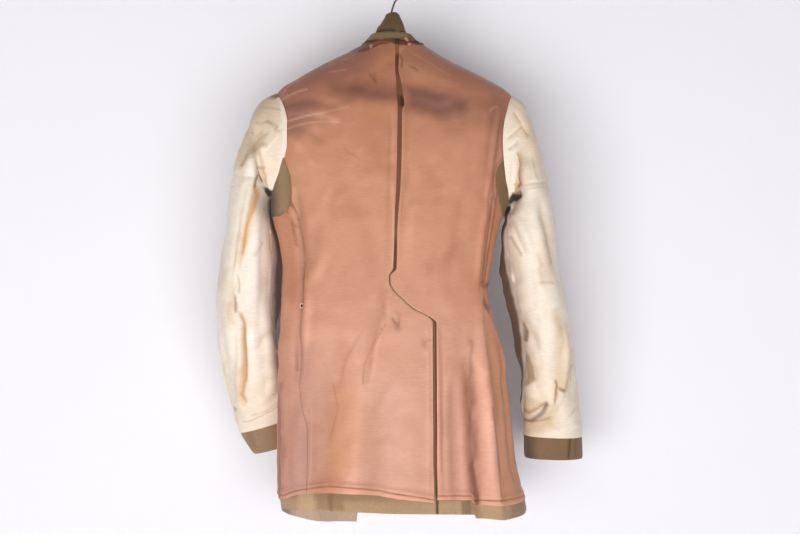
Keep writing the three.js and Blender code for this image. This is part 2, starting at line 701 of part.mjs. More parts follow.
// ---- buttons, on the cloth's right side, which is now the inner one --------
buttonRows.forEach((down, i) => {
  const x = track(frontEdge.left, "down", "x", down) - buttonInset;
  const section = sectionAt(down);
  const ring = -2 + (Math.asin(Math.abs(x - section.mid) / section.half) * 2) / Math.PI;
  const seat = lifted(bodyPoint, ring, down, bodySteps, -woolThick - buttonLift);
  const inward = lifted(bodyPoint, ring, down, bodySteps, -woolThick - 9).sub(seat).normalize();
  const turn = new THREE.Quaternion().setFromUnitVectors(new THREE.Vector3(0, 0, 1), inward);
  const place = new THREE.Matrix4().compose(seat, turn, new THREE.Vector3(1, 1, 1));
  const disc = Manifold.cylinder(2.6, buttonRadius, buttonRadius - 2.5, 16).translate([0, 0, 1.4]);
  const button = Manifold.cylinder(2, 4, 4, 8).add(disc);
  add(`button_${i + 1}`, button.transform(place.elements), "button");
});

// ---- hanger --------------------------------------------------------------
add("hanger", wire(hookPath, 32).add(wire(framePath, 46)).simplify(trimTolerance / 2), "wire");

export default coat;
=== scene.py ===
"""A wool military service coat, turned inside out and hung on a wire hanger.

Sizes are millimetres. "Down" is the distance below the back neck seam, x runs to
the right, and left and right are those of someone who faces the coat's back (-Y).
A ring place goes round the body: 0 is the centre back, -1 the left side, 1 the
right side, and -2 and 2 the centre front.
"""

import math

import bpy
import numpy as np
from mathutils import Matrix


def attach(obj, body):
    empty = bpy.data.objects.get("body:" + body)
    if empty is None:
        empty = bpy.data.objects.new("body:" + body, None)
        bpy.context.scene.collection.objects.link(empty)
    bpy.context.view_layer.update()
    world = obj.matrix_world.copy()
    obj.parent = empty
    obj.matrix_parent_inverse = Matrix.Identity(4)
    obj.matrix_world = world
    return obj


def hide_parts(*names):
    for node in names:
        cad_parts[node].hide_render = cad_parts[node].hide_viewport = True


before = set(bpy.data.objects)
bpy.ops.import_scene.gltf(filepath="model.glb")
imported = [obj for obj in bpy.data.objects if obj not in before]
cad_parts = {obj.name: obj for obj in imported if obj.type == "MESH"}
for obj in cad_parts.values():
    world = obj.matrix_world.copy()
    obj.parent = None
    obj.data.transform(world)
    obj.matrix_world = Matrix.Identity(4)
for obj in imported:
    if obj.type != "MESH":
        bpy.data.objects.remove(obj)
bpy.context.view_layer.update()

# ---- sizes -----------------------------------------------------------------
SIDES = (("left", -1), ("right", 1))
HOOK_TO_NECK = 105
# Thickness of each cloth, and the gaps between layers and at the seams.
WOOL_THICK = 1.6
LINING_THICK = 0.9
SHIELD_THICK = 1.2
BAND_THICK = 1.1
COLLAR_THICK = 3
LAYER_GAP = 0.35
LINING_HIGH = LAYER_GAP + LINING_THICK
SLEEVE_LAYER = (1.9, 3.0)  # the sleeve lining's two faces, out from its plain surface
SLEEVE_LIFT = 0.3  # how far outside the body's outline a sleeve starts
SEAM_GAP = 0.5
CENTRE_GAP = 0.2
WOOL_OVERLAP = 0.1
SEAM_ALLOWANCE = 0.01  # metres
# the least of its flat size that a sheet's stated area may be
LEAST_SHARE = 0.31  # the least share of its flat size that a piece's worked-out area is raised to
# The hem of the wool at the centre back, how much of it shows below the lining,
# where it starts to be uneven, and the strip that sews the lining to it.
HEM_DOWN = 766
HEM_SHOW = 23
HEM_WARP_FROM = 500
LINING_HEM = HEM_DOWN - HEM_SHOW
STRIP_WIDE = 10.5
HEM_LINE_ROW = LINING_HEM - STRIP_WIDE
# Heights above the lining's edge of the close rows that form its hem strip.
HEM_ROWS = [14.4, 13, 11.9, 11.2, 10.5, 9.8, 9, 7.6, 6, 4, 2.5, 1.2, 0]
TIP_DOWN = 89  # the shoulder's tip
FRONT_NECK_FALL = 30  # from the back neck to the front neck
FADE_LENGTH = 90  # over which a long fold comes and goes
COLLAR_END = 1.8  # ring place of the collar's two ends
SLEEVE_SEAM = 75  # degrees from a sleeve's outer edge to its seams
SEAM_START = 226  # where the side seams leave the armhole
SIDE_TOP = SEAM_START + 6
# The pleat of the right skirt, where the hem drops by a step.
PLEAT_DROP = 6.5
PLEAT_RING = 0.352
PLEAT_EDGE = 0.012
CREASE_STRENGTH = 1.6
# Small waves of the cloth: the seed, size and height of each set. The far side of
# a piece takes its waves from that many mm away, so that they aren't the near
# side's again.
BODY_WAVES = [(11, 46, 0.7), (5, 120, 1.0)]
BODY_FAR_SHIFT = 900
SLEEVE_WAVES = {"left": [(21, 40, 0.9), (8, 90, 1.2)], "right": [(33, 40, 0.9), (8, 90, 1.2)]}
SLEEVE_FAR_SHIFT = 500
LINING_BLUR = [(3, 70, 4.0), (19, 24, 1.2)]
SLEEVE_BLUR = [(17, 40, 1.6)]
CUFF_BLUR = [(29, 20, 2.0)]
COLLAR_BLUR = [(37, 16, 1.2)]
# How far the far side of each sleeve's inner edge hangs towards the body: shares
# of that distance that come in from a down over a length, and where it ends.
SLEEVE_SAG = {
    "left": {"far": 23, "shares": [(0.4, 243, 16), (0.6, 290, 46)], "end": 500, "over": 70},
    "right": {"far": -24, "shares": [(0.45, 250, 16), (0.55, 330, 50), (-0.6, 500, 60)],
              "end": 650, "over": 60},
}
COAT_MIDDLE = (0, 0, -0.45)  # metres
FAR = 1e9
# Mesh steps in mm: the wool back and lining sides, the hidden panels, the
# sleeves and the lining back.
STEP, COARSE, SLEEVE_STEP, FINE = ((3.4, 5.0, 2.6, 2.2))


def table(columns, rows):
    """Named columns of numbers, and the number of each row."""
    named = {name: np.array(values) for name, values in zip(columns.split(), zip(*rows))}
    return {"row": np.arange(len(rows)), **named}


# ---- outline of the body and its seams -------------------------------------
# The body at each level: x of its left and right sides, how deep it is to the
# back and to the front, and the power of its rounded outline (2 is an ellipse).
BODY = table("down left right back front power", [
    (0, -62, 38, 28, 28, 2),
    (14, -83, 55, 35, 32, 2),
    (28, -112, 78, 42, 37, 2.05),
    (44, -143, 110, 49, 42, 2.1),
    (61, -173, 143, 55, 47, 2.15),
    (78, -199, 174, 60, 51, 2.2),
    (89, -205, 184, 63, 54, 2.2),
    (121, -207, 188, 69, 59, 2.3),
    (161, -208, 188, 74, 64, 2.3),
    (201, -210, 187, 78, 69, 2.3),
    (241, -212, 184, 80, 72, 2.3),
    (289, -209, 169, 80, 74, 2.3),
    (336, -199, 158, 75, 72, 2.3),
    (376, -194, 150, 70, 69, 2.3),
    (411, -195, 146, 67, 67, 2.3),
    (441, -197, 150, 67, 68, 2.3),
    (476, -199, 161, 70, 70, 2.3),
    (516, -201, 172, 74, 72, 2.3),
    (576, -203, 179, 79, 75, 2.3),
    (636, -203, 185, 83, 77, 2.3),
    (696, -203, 192, 86, 79, 2.3),
    (736, -202, 201, 88, 80, 2.3),
    (800, -196, 213, 90, 82, 2.3),
])
# The wool's centre back seam, which steps to the right at the head of the vent.
CENTRE_SEAM = table("down x", [
    (0, -2.3), (378, -8.3), (386, -17), (396, -17), (408, -12), (423, 3), (439, 21), (455, 50),
    (462, 55.5), (800, 56.5),
])
# Level of the wool's hem round the body.
HEM_LINE = table("ring down", [
    (-2, 812), (-1.6, 808), (-1, 778), (-0.75, 768), (-0.2, 766), (0.25, 769), (0.6, 776), (1, 778),
    (1.7, 792), (2, 796),
])
# The one hole worn in the lining, left of the waist.
HOLE = {"x": -161.3, "down": 435.0, "radius": 2.9}
# How much lower than level the lining's lower edge hangs, and the height of
# the strip that sews it to the hem.
HEM_STRIP = {
    "left": table("ring drop wide", [
        (-1.3, 0, 10.5), (-0.9, 6, 6), (-0.74, 6, 6), (-0.57, -3.7, 7), (-0.34, -6.5, 12), (-0.08, -5.4, 8.6),
        (0.02, 1, 8), (0.14, 4.6, 4.8),
    ]),
    "right": table("ring drop wide", [
        (0.13, 0, 6.5), (0.345, 0, 7.4), (0.36, 2.3, 7), (0.54, 1.6, 8.5), (1, 4.5, 8.6), (1.3, 0, 10.5),
    ]),
}
# The long folds that hang: ring place at the top and the bottom, where they start
# and end, half width and height (+ out, - in).
FOLDS = [
    ("left skirt valley", -0.16, -0.33, 470, 900, 46, -9),
    ("left skirt plane", -0.02, -0.1, 480, 900, 40, 3),
    ("left side groove", -0.9, -0.88, 540, 790, 13, -9),
    ("left seam fold", -0.56, -0.58, 430, 640, 15, -5),
    ("left corner roll", -0.62, -0.56, 590, 900, 16, 5),
    ("right flute", 0.43, 0.42, 480, 900, 17, -10),
    ("right flute crest", 0.56, 0.52, 500, 900, 17, 6),
    ("right edge fold", 0.84, 0.8, 480, 770, 12, -6),
    ("right shoulder fold", 0.66, 0.6, 90, 300, 11, -4),
    ("left front fold", -1.42, -1.5, 420, 900, 26, -9),
    ("left front crest", -1.3, -1.26, 450, 900, 26, 7),
    ("right front fold", 1.4, 1.46, 400, 900, 28, -10),
    ("right front crest", 1.62, 1.66, 430, 900, 26, 6),
]
# The collar's levels from below up: its left and right ends, its depth, and the
# down of its edge at the back and the front.
STAND = table("left right deep back front", [
    (-58, 32, 22, 9, 38),
    (-60, 34, 28, -0.85, 28.9),
    (-56, 27, 27, -6, 22),
    (-50.5, 20.5, 25, -12.5, 12),
    (-45, 15, 22, -18.5, 2),
])
LEAF = table("left right deep back front", [
    (-41.5, 11.5, 18.6, -17.5, 3),
    (-37, 8, 17, -27, -8),
    (-30.5, 4.5, 14.5, -36, -20),
    (-25.5, 1, 12, -44, -33),
    (-21, -2.5, 9.5, -52, -46),
])
# Seams and edges, each an x at some levels. The lining's centre back seam is
# split, so it has two edges.
SIDE_BACK_SEAM = {
    "left": table("down x", [
        (226, -205), (241, -190), (294, -165), (358, -157), (398, -157), (441, -160), (478, -166),
        (549, -167), (594, -162), (639, -152), (800, -152),
    ]),
    "right": table("down x", [
        (226, 178), (261, 165), (293, 155), (338, 148), (381, 142), (411, 139), (459, 136),
        (506, 142), (573, 149), (628, 155), (800, 168),
    ]),
}
FRONT_EDGE = {
    "left": table("down x", [(20, -24), (146, -40), (296, -60), (496, -74), (810, -79)]),
    "right": table("down x", [(20, 2), (146, 18), (296, 36), (496, 50), (810, 60)]),
}
LINING_SPLIT = {
    "left": table("down x", [
        (0, -7.5), (50, -7.7), (66, -6), (94, -5.5), (108, -3.6), (180, -4.4), (243, -6),
        (276, -7.7), (344, -9.5), (374, -11), (386, -17.6), (396, -17.6), (408, -12.6), (423, 2.4),
        (439, 20.4), (455, 49.2), (462, 53), (800, 53.5),
    ]),
    "right": table("down x", [
        (0, -1.5), (50, -2.8), (66, 0.5), (94, 5.2), (108, 6.8), (118, 3.2), (180, 2.6), (243, 0.3),
        (276, -2.3), (308, -4.4), (344, -5), (374, -6), (386, -15.6), (396, -15.4), (408, -10),
        (423, 5), (439, 23.4), (455, 52.6), (462, 58.6), (800, 59),
    ]),
}
FACING_LINE = {
    "left": table("down x", [(20, -58), (110, -110), (300, -132), (810, -136)]),
    "right": table("down x", [(20, 34), (110, 84), (300, 100), (810, 118)]),
}
SIDE_FRONT_SEAM = {
    "left": table("down x", [(226, -205), (260, -178), (320, -160), (400, -152), (800, -160)]),
    "right": table("down x", [(226, 180), (260, 156), (320, 136), (400, 122), (800, 160)]),
}
# The sleeves from the shoulder down: x and down of the outer edge and of the inner
# edge, y of the middle (+ is towards the wall) and half the depth.
SLEEVES = {
    "left": table("outX outDown inX inDown y deep", [
        (-184, 78, -186, 254, 0, 42),
        (-227, 97, -216, 252, 0, 44),
        (-246, 129, -220, 254, 0, 48),
        (-261, 165, -223, 260, 0, 53),
        (-273, 207, -224, 270, 2, 57),
        (-281, 261, -223, 287, 4, 60),
        (-287, 306, -219, 312, 8, 61),
        (-297, 361, -216, 358, 18, 60),
        (-307, 437, -220, 427, 32, 57),
        (-305, 514, -213, 499, 50, 54),
        (-295, 571, -203, 551, 66, 50),
        (-282, 626, -190, 600, 80, 47),
        (-277, 656, -180, 627, 88, 45),
        (-254, 696, -160, 668, 97, 44),
    ]),
    "right": table("outX outDown inX inDown y deep", [
        (160, 80, 160, 268, 0, 38),
        (200, 99, 188, 267, 0, 41.5),
        (215, 133, 190, 270, 0, 46.5),
        (227, 169, 190, 276, 0, 53),
        (237, 209, 187, 285, -2, 56),
        (246, 259, 181, 297, -4, 59),
        (252, 307, 177, 320, -5, 60),
        (260, 364, 184, 364, 0, 58),
        (273, 428, 199, 428, 10, 56),
        (288, 497, 212, 497, 24, 53),
        (297, 561, 213, 561, 38, 50),
        (304, 623, 212, 623, 50, 47),
        (311, 665, 212, 661, 58, 45),
        (313, 698, 213, 696, 64, 44),
    ]),
}
# Inner edge of each underarm shield.
SHIELD_EDGE = {
    "left": table("down x", [
        (188, -190), (198, -186), (210, -182), (222, -178), (246, -175), (262, -175), (272, -177),
        (281, -182), (289, -195),
    ]),
    "right": table("down x", [
        (188, 175), (196, 170), (206, 163), (222, 158), (246, 157), (262, 160), (275, 164), (287, 168),
        (296, 171),
    ]),
}
# Each armhole's middle level, half height and half depth.
ARMHOLES = {
    "left": {"side": -1, "down": 171, "half": 82, "deep": 38},
    "right": {"side": 1, "down": 178, "half": 89, "deep": 38},
}
# Rows of SLEEVES at which the lining ends, and the cuff's band and wool start and end.
SLEEVE_ENDS = {
    "left": {"lining": 11.52, "band_from": 11.36, "band_to": 12.05, "wool_from": 10.9, "wool_to": 13},
    "right": {"lining": 11.46, "band_from": 11.3, "band_to": 11.88, "wool_from": 10.9, "wool_to": 13},
}
# The wool underlap of the vent.
VENT_STRIP = {"left": 20, "right": 78, "from": 494, "thick": 1.4}

# ---- creases ---------------------------------------------------------------
# Each is a kind, its half width, its height (+ out, - in) and the points (x, down)
# that it follows. The kind is "line", or "step", which is a fold that lies over
# towards its right-hand side.
BODY_CREASES = [
    ("line", 7, -2.2, [(-168, 250), (-160, 330), (-157, 395)]),
    ("line", 5, 1.8, [(-176, 235), (-170, 300), (-167, 380)]),
    ("line", 5, -2.5, [(-158, 398), (-162, 440), (-166, 480), (-168, 560)]),
    ("line", 6, 2.0, [(-150, 410), (-152, 450), (-157, 520)]),
    ("line", 12, -2.0, [(-130, 300), (-146, 360), (-156, 398)]),
    ("line", 9, 1.4, [(-120, 350), (-140, 385), (-155, 400)]),
    ("line", 7, -1.4, [(-190, 108), (-150, 100), (-100, 112)]),
    ("line", 6, 1.6, [(-186, 118), (-140, 118), (-96, 132)]),
    ("line", 7, -1.2, [(-186, 140), (-150, 150), (-118, 172)]),
    ("line", 6, 1.2, [(-188, 156), (-160, 176), (-140, 205)]),
    ("line", 26, -2.4, [(-120, 520), (-135, 640), (-140, 790)]),
    ("line", 22, 2.6, [(-70, 540), (-84, 640), (-92, 790)]),
    ("line", 18, -2.0, [(-40, 560), (-46, 680), (-50, 790)]),
    ("line", 6, -1.6, [(-26, 396), (-28, 430), (-46, 490), (-56, 552)]),
    ("line", 5, 1.3, [(-18, 402), (-20, 440), (-38, 500), (-48, 560)]),
    ("line", 4, -1.8, [(-9, 452), (-4, 468), (-1, 452)]),
    ("line", 4, -1.4, [(44, 478), (40, 490), (44, 504)]),
    ("line", 3, -1.0, [(-60, 470), (-90, 520), (-100, 560)]),
    ("step", 8, 2.2, [(165, 108), (160, 150), (152, 210), (142, 265)]),
    ("line", 6, -2.2, [(156, 112), (150, 160), (144, 220), (137, 268)]),
    ("line", 5, -2.4, [(150, 262), (142, 320), (137, 370), (132, 410)]),
    ("line", 6, 2.0, [(140, 270), (133, 330), (127, 390)]),
    ("line", 4, -2.8, [(136, 392), (141, 402), (146, 398)]),
    ("line", 4, -2.2, [(138, 424), (144, 436), (150, 434)]),
    ("line", 5, -1.8, [(139, 445), (145, 500), (152, 560), (160, 640)]),
    ("line", 9, 2.2, [(128, 440), (134, 500), (140, 560), (150, 700)]),
    ("line", 10, -3.0, [(112, 520), (118, 600), (124, 700), (128, 790)]),
    ("line", 8, 1.8, [(98, 540), (102, 620), (106, 760)]),
    ("line", 7, -1.8, [(84, 560), (86, 660), (90, 760)]),
    ("line", 14, -1.5, [(60, 120), (90, 140), (140, 130)]),
    ("line", 10, 1.2, [(40, 70), (80, 86), (130, 84)]),
    ("line", 9, -1.1, [(-90, 70), (-50, 90), (-20, 92)]),
    ("line", 8, 1.0, [(20, 92), (60, 104), (100, 96)]),
    ("line", 12, -1.0, [(-100, 220), (-60, 300), (-40, 380)]),
    ("line", 12, 1.0, [(30, 200), (20, 300), (6, 370)]),
    ("line", 10, -1.2, [(110, 330), (80, 360), (40, 372)]),
    ("line", 9, -1.0, [(110, 240), (90, 300), (92, 360)]),
    ("line", 3, -1.2, [(-14, 120), (-16, 200), (-18, 300), (-19, 360)]),
    ("line", 3, -1.2, [(12, 100), (10, 200), (4, 300), (2, 360)]),
    ("line", 4, 0.9, [(60, 470), (61, 600), (63, 720)]),
    ("line", 3, -0.9, [(68, 470), (69, 600), (71, 740)]),
    ("line", 3, 0.9, [(45, 470), (46, 600), (46, 740)]),
]
FRONT_CREASES = [
    ("line", 12, -3.0, [(-150, 110), (-120, 200), (-112, 300)]),
    ("line", 10, 2.4, [(-165, 140), (-142, 220), (-130, 330)]),
    ("line", 14, -3.0, [(110, 110), (100, 220), (96, 330)]),
    ("line", 10, 2.2, [(140, 150), (122, 240), (112, 340)]),
    ("line", 9, -2.4, [(-150, 380), (-120, 420), (-100, 430)]),
    ("line", 9, -2.2, [(120, 360), (96, 400), (80, 420)]),
    ("line", 12, 2.4, [(-130, 470), (-140, 600), (-150, 760)]),
    ("line", 12, 2.4, [(110, 480), (122, 600), (130, 760)]),
    ("line", 4, -1.4, [(-46, 120), (-64, 320), (-80, 520), (-84, 760)]),
    ("line", 4, -1.4, [(22, 120), (42, 320), (58, 520), (66, 760)]),
]
SLEEVE_CREASES = {
    "left": [
        ("line", 5, -3.6, [(-237, 190), (-232, 210), (-226, 232)]),
        ("line", 6, 2.6, [(-246, 170), (-240, 200), (-233, 232)]),
        ("line", 5, -2.6, [(-228, 176), (-222, 200), (-216, 240)]),
        ("step", 6, 3.0, [(-238, 222), (-250, 290), (-262, 360), (-272, 400)]),
        ("line", 5, -2.6, [(-246, 236), (-259, 310), (-270, 372), (-276, 410)]),
        ("line", 8, -1.8, [(-252, 130), (-258, 200), (-264, 280)]),
        ("line", 7, 1.6, [(-238, 240), (-236, 320), (-240, 400)]),
        ("line", 7, -2.0, [(-228, 300), (-226, 380), (-232, 450)]),
        ("line", 6, 2.2, [(-273, 426), (-275, 450), (-270, 480)]),
        ("step", 6, 3.0, [(-262, 470), (-263, 520), (-266, 570), (-266, 606)]),
        ("line", 5, -2.6, [(-254, 470), (-254, 530), (-258, 600)]),
        ("line", 8, -2.2, [(-236, 440), (-228, 520), (-224, 600)]),
        ("line", 6, 2.0, [(-290, 400), (-284, 470), (-278, 530)]),
        ("line", 6, -1.6, [(-300, 420), (-294, 500), (-284, 570)]),
        ("line", 5, -1.8, [(-214, 470), (-230, 500), (-246, 512)]),
        ("line", 5, 1.8, [(-210, 560), (-226, 590), (-246, 604)]),
        ("line", 5, -2.0, [(-208, 584), (-222, 612), (-244, 626)]),
        ("line", 6, -1.6, [(-262, 110), (-244, 150), (-232, 190)]),
        ("line", 3, -1.0, [(-268, 222), (-240, 226), (-226, 222)]),
        ("line", 3, -1.0, [(-296, 424), (-262, 432), (-226, 424)]),
        ("line", 5, 1.6, [(-278, 580), (-262, 620), (-250, 640)]),
    ],
    "right": [
        ("line", 5, -4.2, [(198, 251), (191, 260), (184, 268)]),
        ("line", 4, -3.2, [(194, 188), (197, 206), (194, 222), (197, 242)]),
        ("line", 5, 2.8, [(201, 196), (205, 214), (203, 238)]),
        ("line", 5, 2.2, [(187, 196), (189, 216), (185, 242)]),
        ("line", 4, -1.6, [(178, 162), (188, 153), (198, 143)]),
        ("line", 4, -1.6, [(178, 180), (186, 173), (194, 166)]),
        ("line", 4, -1.4, [(187, 118), (197, 134), (210, 158)]),
        ("line", 6, -2.4, [(226, 262), (236, 310), (246, 350), (252, 384)]),
        ("line", 6, 2.0, [(238, 250), (246, 300), (256, 344)]),
        ("line", 6, 2.0, [(216, 280), (226, 320), (238, 366)]),
        ("line", 5, -1.8, [(258, 362), (260, 390), (264, 420)]),
        ("line", 3, -1.2, [(186, 234), (210, 236), (240, 232)]),
        ("line", 3, -1.2, [(200, 438), (234, 442), (272, 436)]),
        ("line", 5, -2.4, [(180, 296), (190, 320), (204, 352)]),
        ("line", 5, 2.0, [(186, 286), (200, 312), (214, 346)]),
        ("line", 6, -2.4, [(206, 456), (218, 484), (230, 508)]),
        ("line", 7, -2.0, [(212, 500), (226, 560), (242, 616)]),
        ("line", 6, 2.0, [(232, 440), (236, 500), (244, 560)]),
        ("step", 7, 3.2, [(272, 470), (276, 520), (270, 580), (262, 606)]),
        ("line", 6, -3.0, [(284, 476), (288, 530), (284, 590), (270, 612)]),
        ("line", 4, -2.6, [(258, 596), (266, 606), (262, 618), (272, 612)]),
        ("line", 5, -2.4, [(212, 632), (236, 640), (252, 622), (264, 606)]),
        ("line", 5, 2.0, [(214, 616), (232, 624), (248, 604), (256, 590)]),
        ("line", 4, -2.0, [(216, 652), (236, 654), (252, 650)]),
        ("line", 4, 1.6, [(256, 640), (272, 650), (290, 636), (304, 640)]),
        ("line", 5, -1.8, [(262, 620), (280, 640), (298, 650)]),
        ("line", 6, -1.6, [(296, 560), (298, 600), (302, 640)]),
        ("line", 7, 1.6, [(222, 380), (228, 420), (226, 450)]),
    ],
}

# ---- colours, wear, stains and painted light and shade ---------------------
# Patches are a soft edge in mm, a strength, the colour that the cloth turns to
# (sRGB) and an outline in points (x, down). Marks are a half width, a strength, a
# colour and the points that they follow. A later one lies over an earlier one.
WOOL_COLOUR = (158, 130, 101)
SHIELD_COLOUR = (134, 106, 76)
COLLAR_COLOUR = (106, 83, 57)
LINING_COLOUR = (203, 144, 115)
SLEEVE_COLOUR = (246, 234, 218)
WORN_TINT = (0.75, 0.62, 0.5)
# How much more the painted shade and light of the creases change green and blue than red.
CREASE_SHADE_TINT = np.array([1.0, 1.12, 1.22])
# What the far side of each sleeve's inner edge, in the shade of the body, keeps
# of its colour.
SLEEVE_SHADE = {"left": (0.28, 0.2, 0.16), "right": (0.15, 0.09, 0.06)}
# Cloth finishes: the weave and fleck are scales, the flecks the darkest and the
# lightest, and stretch draws the flecks out along the yarn.
WOOL_FINISH = {"rough": 0.95, "sheen": 0.2, "weave": 160, "fleck": 600, "flecks": (0.84, 1.14),
               "stretch": (1, 1, 1), "bump": 0.5}
LINING_FINISH = {"rough": 0.5, "sheen": 0.15, "weave": 420, "fleck": 700, "flecks": (0.92, 1.06),
                 "stretch": (0.12, 0.12, 1), "bump": 0.1}
SLEEVE_FINISH = {**LINING_FINISH, "rough": 0.48, "sheen": 0.1}
SHOULDER_WEAR = (75, 1.0, (181, 122, 95), [(-220, -40), (220, -40), (200, 118), (60, 128), (-60, 112),
                                           (-200, 128)])
SKIRT_WEAR = (60, 0.9, (220, 163, 139), [(-190, 440), (180, 440), (200, 840), (-220, 840)])
# Patches of the body lining: stains and wear, and painted light and shade of its folds, as marked below.
LINING_PATCHES = [
    SHOULDER_WEAR,
    (28, 0.9, (158, 108, 91), [(-200, 70), (-110, 20), (-40, 2), (-60, 60), (-130, 86), (-196, 150)]),
    (16, 0.95, (140, 92, 75), [(-112, 76), (-50, 74), (0, 78), (0, 108), (-48, 104), (-110, 92)]),
    (15, 1.0, (134, 90, 74), [(8, 78), (60, 84), (112, 96), (112, 118), (80, 132), (12, 118)]),
    (22, 0.8, (150, 104, 90), [(-188, 96), (-140, 98), (-132, 134), (-160, 150), (-186, 156)]),
    (20, 0.7, (158, 106, 86), [(112, 84), (176, 96), (182, 150), (150, 150), (116, 118)]),
    (16, 0.75, (206, 148, 108), [(-64, 116), (-34, 112), (-8, 118), (-10, 132), (-50, 134)]),
    (12, 0.6, (200, 142, 100), [(-20, 28), (-4, 24), (-6, 42), (-34, 52), (-30, 40)]),
    (10, 0.6, (206, 148, 112), [(4, 40), (40, 52), (90, 74), (20, 66)]),
    (14, 0.5, (150, 104, 88), [(150, 92), (172, 104), (172, 260), (150, 300), (146, 200)]),
    (26, 0.5, (214, 158, 130), [(-160, 200), (-120, 200), (-110, 360), (-150, 360)]),
    (40, 0.6, (209, 146, 112), [(-90, 180), (-10, 180), (-14, 330), (-90, 330)]),
    (40, 0.5, (212, 150, 118), [(14, 200), (90, 200), (110, 330), (20, 330)]),
    SKIRT_WEAR,
    # Painted shade in the trough of the left skirt's broad fold.
    (16, 0.85, (203, 142, 109), [(-112, 560), (-70, 570), (-74, 650), (-96, 724), (-122, 730), (-118, 640)]),
    (12, 0.7, (204, 144, 112), [(-96, 470), (-84, 500), (-78, 560), (-94, 566), (-104, 520)]),
    (20, 0.6, (208, 148, 116), [(-66, 590), (-30, 600), (-40, 680), (-76, 690)]),
    (14, 0.7, (198, 148, 134), [(-176, 500), (-146, 500), (-142, 770), (-184, 770)]),
    # Painted shade in the groove at the left side.
    (7, 0.8, (168, 114, 98), [(-204, 560), (-193, 560), (-190, 800), (-204, 800)]),
    (24, 0.5, (226, 174, 152), [(-40, 560), (10, 560), (30, 760), (-30, 760)]),
    # Painted light on the crest beside the right flute.
    (7, 0.6, (236, 180, 154), [(122, 520), (142, 545), (150, 600), (158, 680), (162, 752), (130, 752),
                               (125, 640)]),
    # Painted shade in the right flute.
    (7, 0.9, (164, 110, 90), [(113, 490), (121, 570), (127, 770), (115, 770), (111, 570)]),
    (3, 0.7, (206, 147, 111), [(138.5, 466), (150, 466), (162, 508), (178, 564), (196, 650), (210, 750),
                               (163.5, 750), (157, 662), (147, 578), (139, 514)]),
    (14, 0.6, (190, 130, 104), [(-138, 700), (-88, 704), (-88, 756), (-142, 756)]),
    (20, 0.5, (190, 128, 98), [(0, 225), (74, 225), (74, 330), (4, 300)]),
    (24, 0.5, (186, 124, 94), [(-64, 110), (-14, 110), (-14, 236), (-60, 230)]),
    (8, 0.5, (226, 170, 146), [(-164, 520), (-150, 520), (-148, 640), (-162, 640)]),
    (4, 0.6, (184, 120, 88), [(-189, 408), (-176, 415), (-189, 421)]),
    (12, 0.6, (206, 150, 130), [(84, 520), (101, 610), (106, 770), (74, 770), (71, 610)]),
    # Painted shade over the left side panel beside its fold.
    (12, 0.5, (194, 132, 104), [(-186, 290), (-164, 290), (-162, 420), (-176, 430)]),
    (10, 0.6, (190, 130, 104), [(-176, 400), (-160, 396), (-160, 430), (-178, 434)]),
    (8, 0.6, (188, 126, 92), [(150, 280), (166, 282), (150, 400), (140, 400)]),
    (1.6, 0.95, (92, 56, 34), [(-90, -20), (60, -20), (60, 7), (19, 5), (-10, 4.5), (-22, 7.5), (-50, 13),
                               (-76, 20), (-96, 26)]),
    (5, 0.8, (128, 78, 46), [(-96, 6), (-50, -2), (-42, 4), (-50, 12), (-76, 20), (-96, 25)]),
    (1.4, 0.7, (150, 92, 74), [(-52, 4), (-15, -1), (-15, 3), (-46, 10)]),
    (1.0, 0.9, (222, 178, 148), [(-51, 5), (-47, 4), (-46, 11), (-50, 12)]),
    (1.0, 0.9, (226, 176, 150), [(9, 0), (15, -1), (15, 5), (10, 5)]),
    (1.0, 0.8, (186, 116, 100), [(17, 0), (21, 0), (21, 6), (17, 5)]),
    (3, 0.7, (190, 138, 98), [(-14, 5), (6, 5), (7, 11), (2, 24), (-8, 30), (-10, 12)]),
    (2.4, 0.4, (170, 108, 70), [(-18, 42), (-8, 38), (-8, 44), (-16, 47)]),
    (14, 0.4, (192, 136, 112), [(-104, 390), (-40, 404), (-60, 416), (-106, 406)]),
    (10, 0.65, (217, 160, 132), [(-151, 334), (-124, 334), (-122, 394), (-150, 394)]),
]
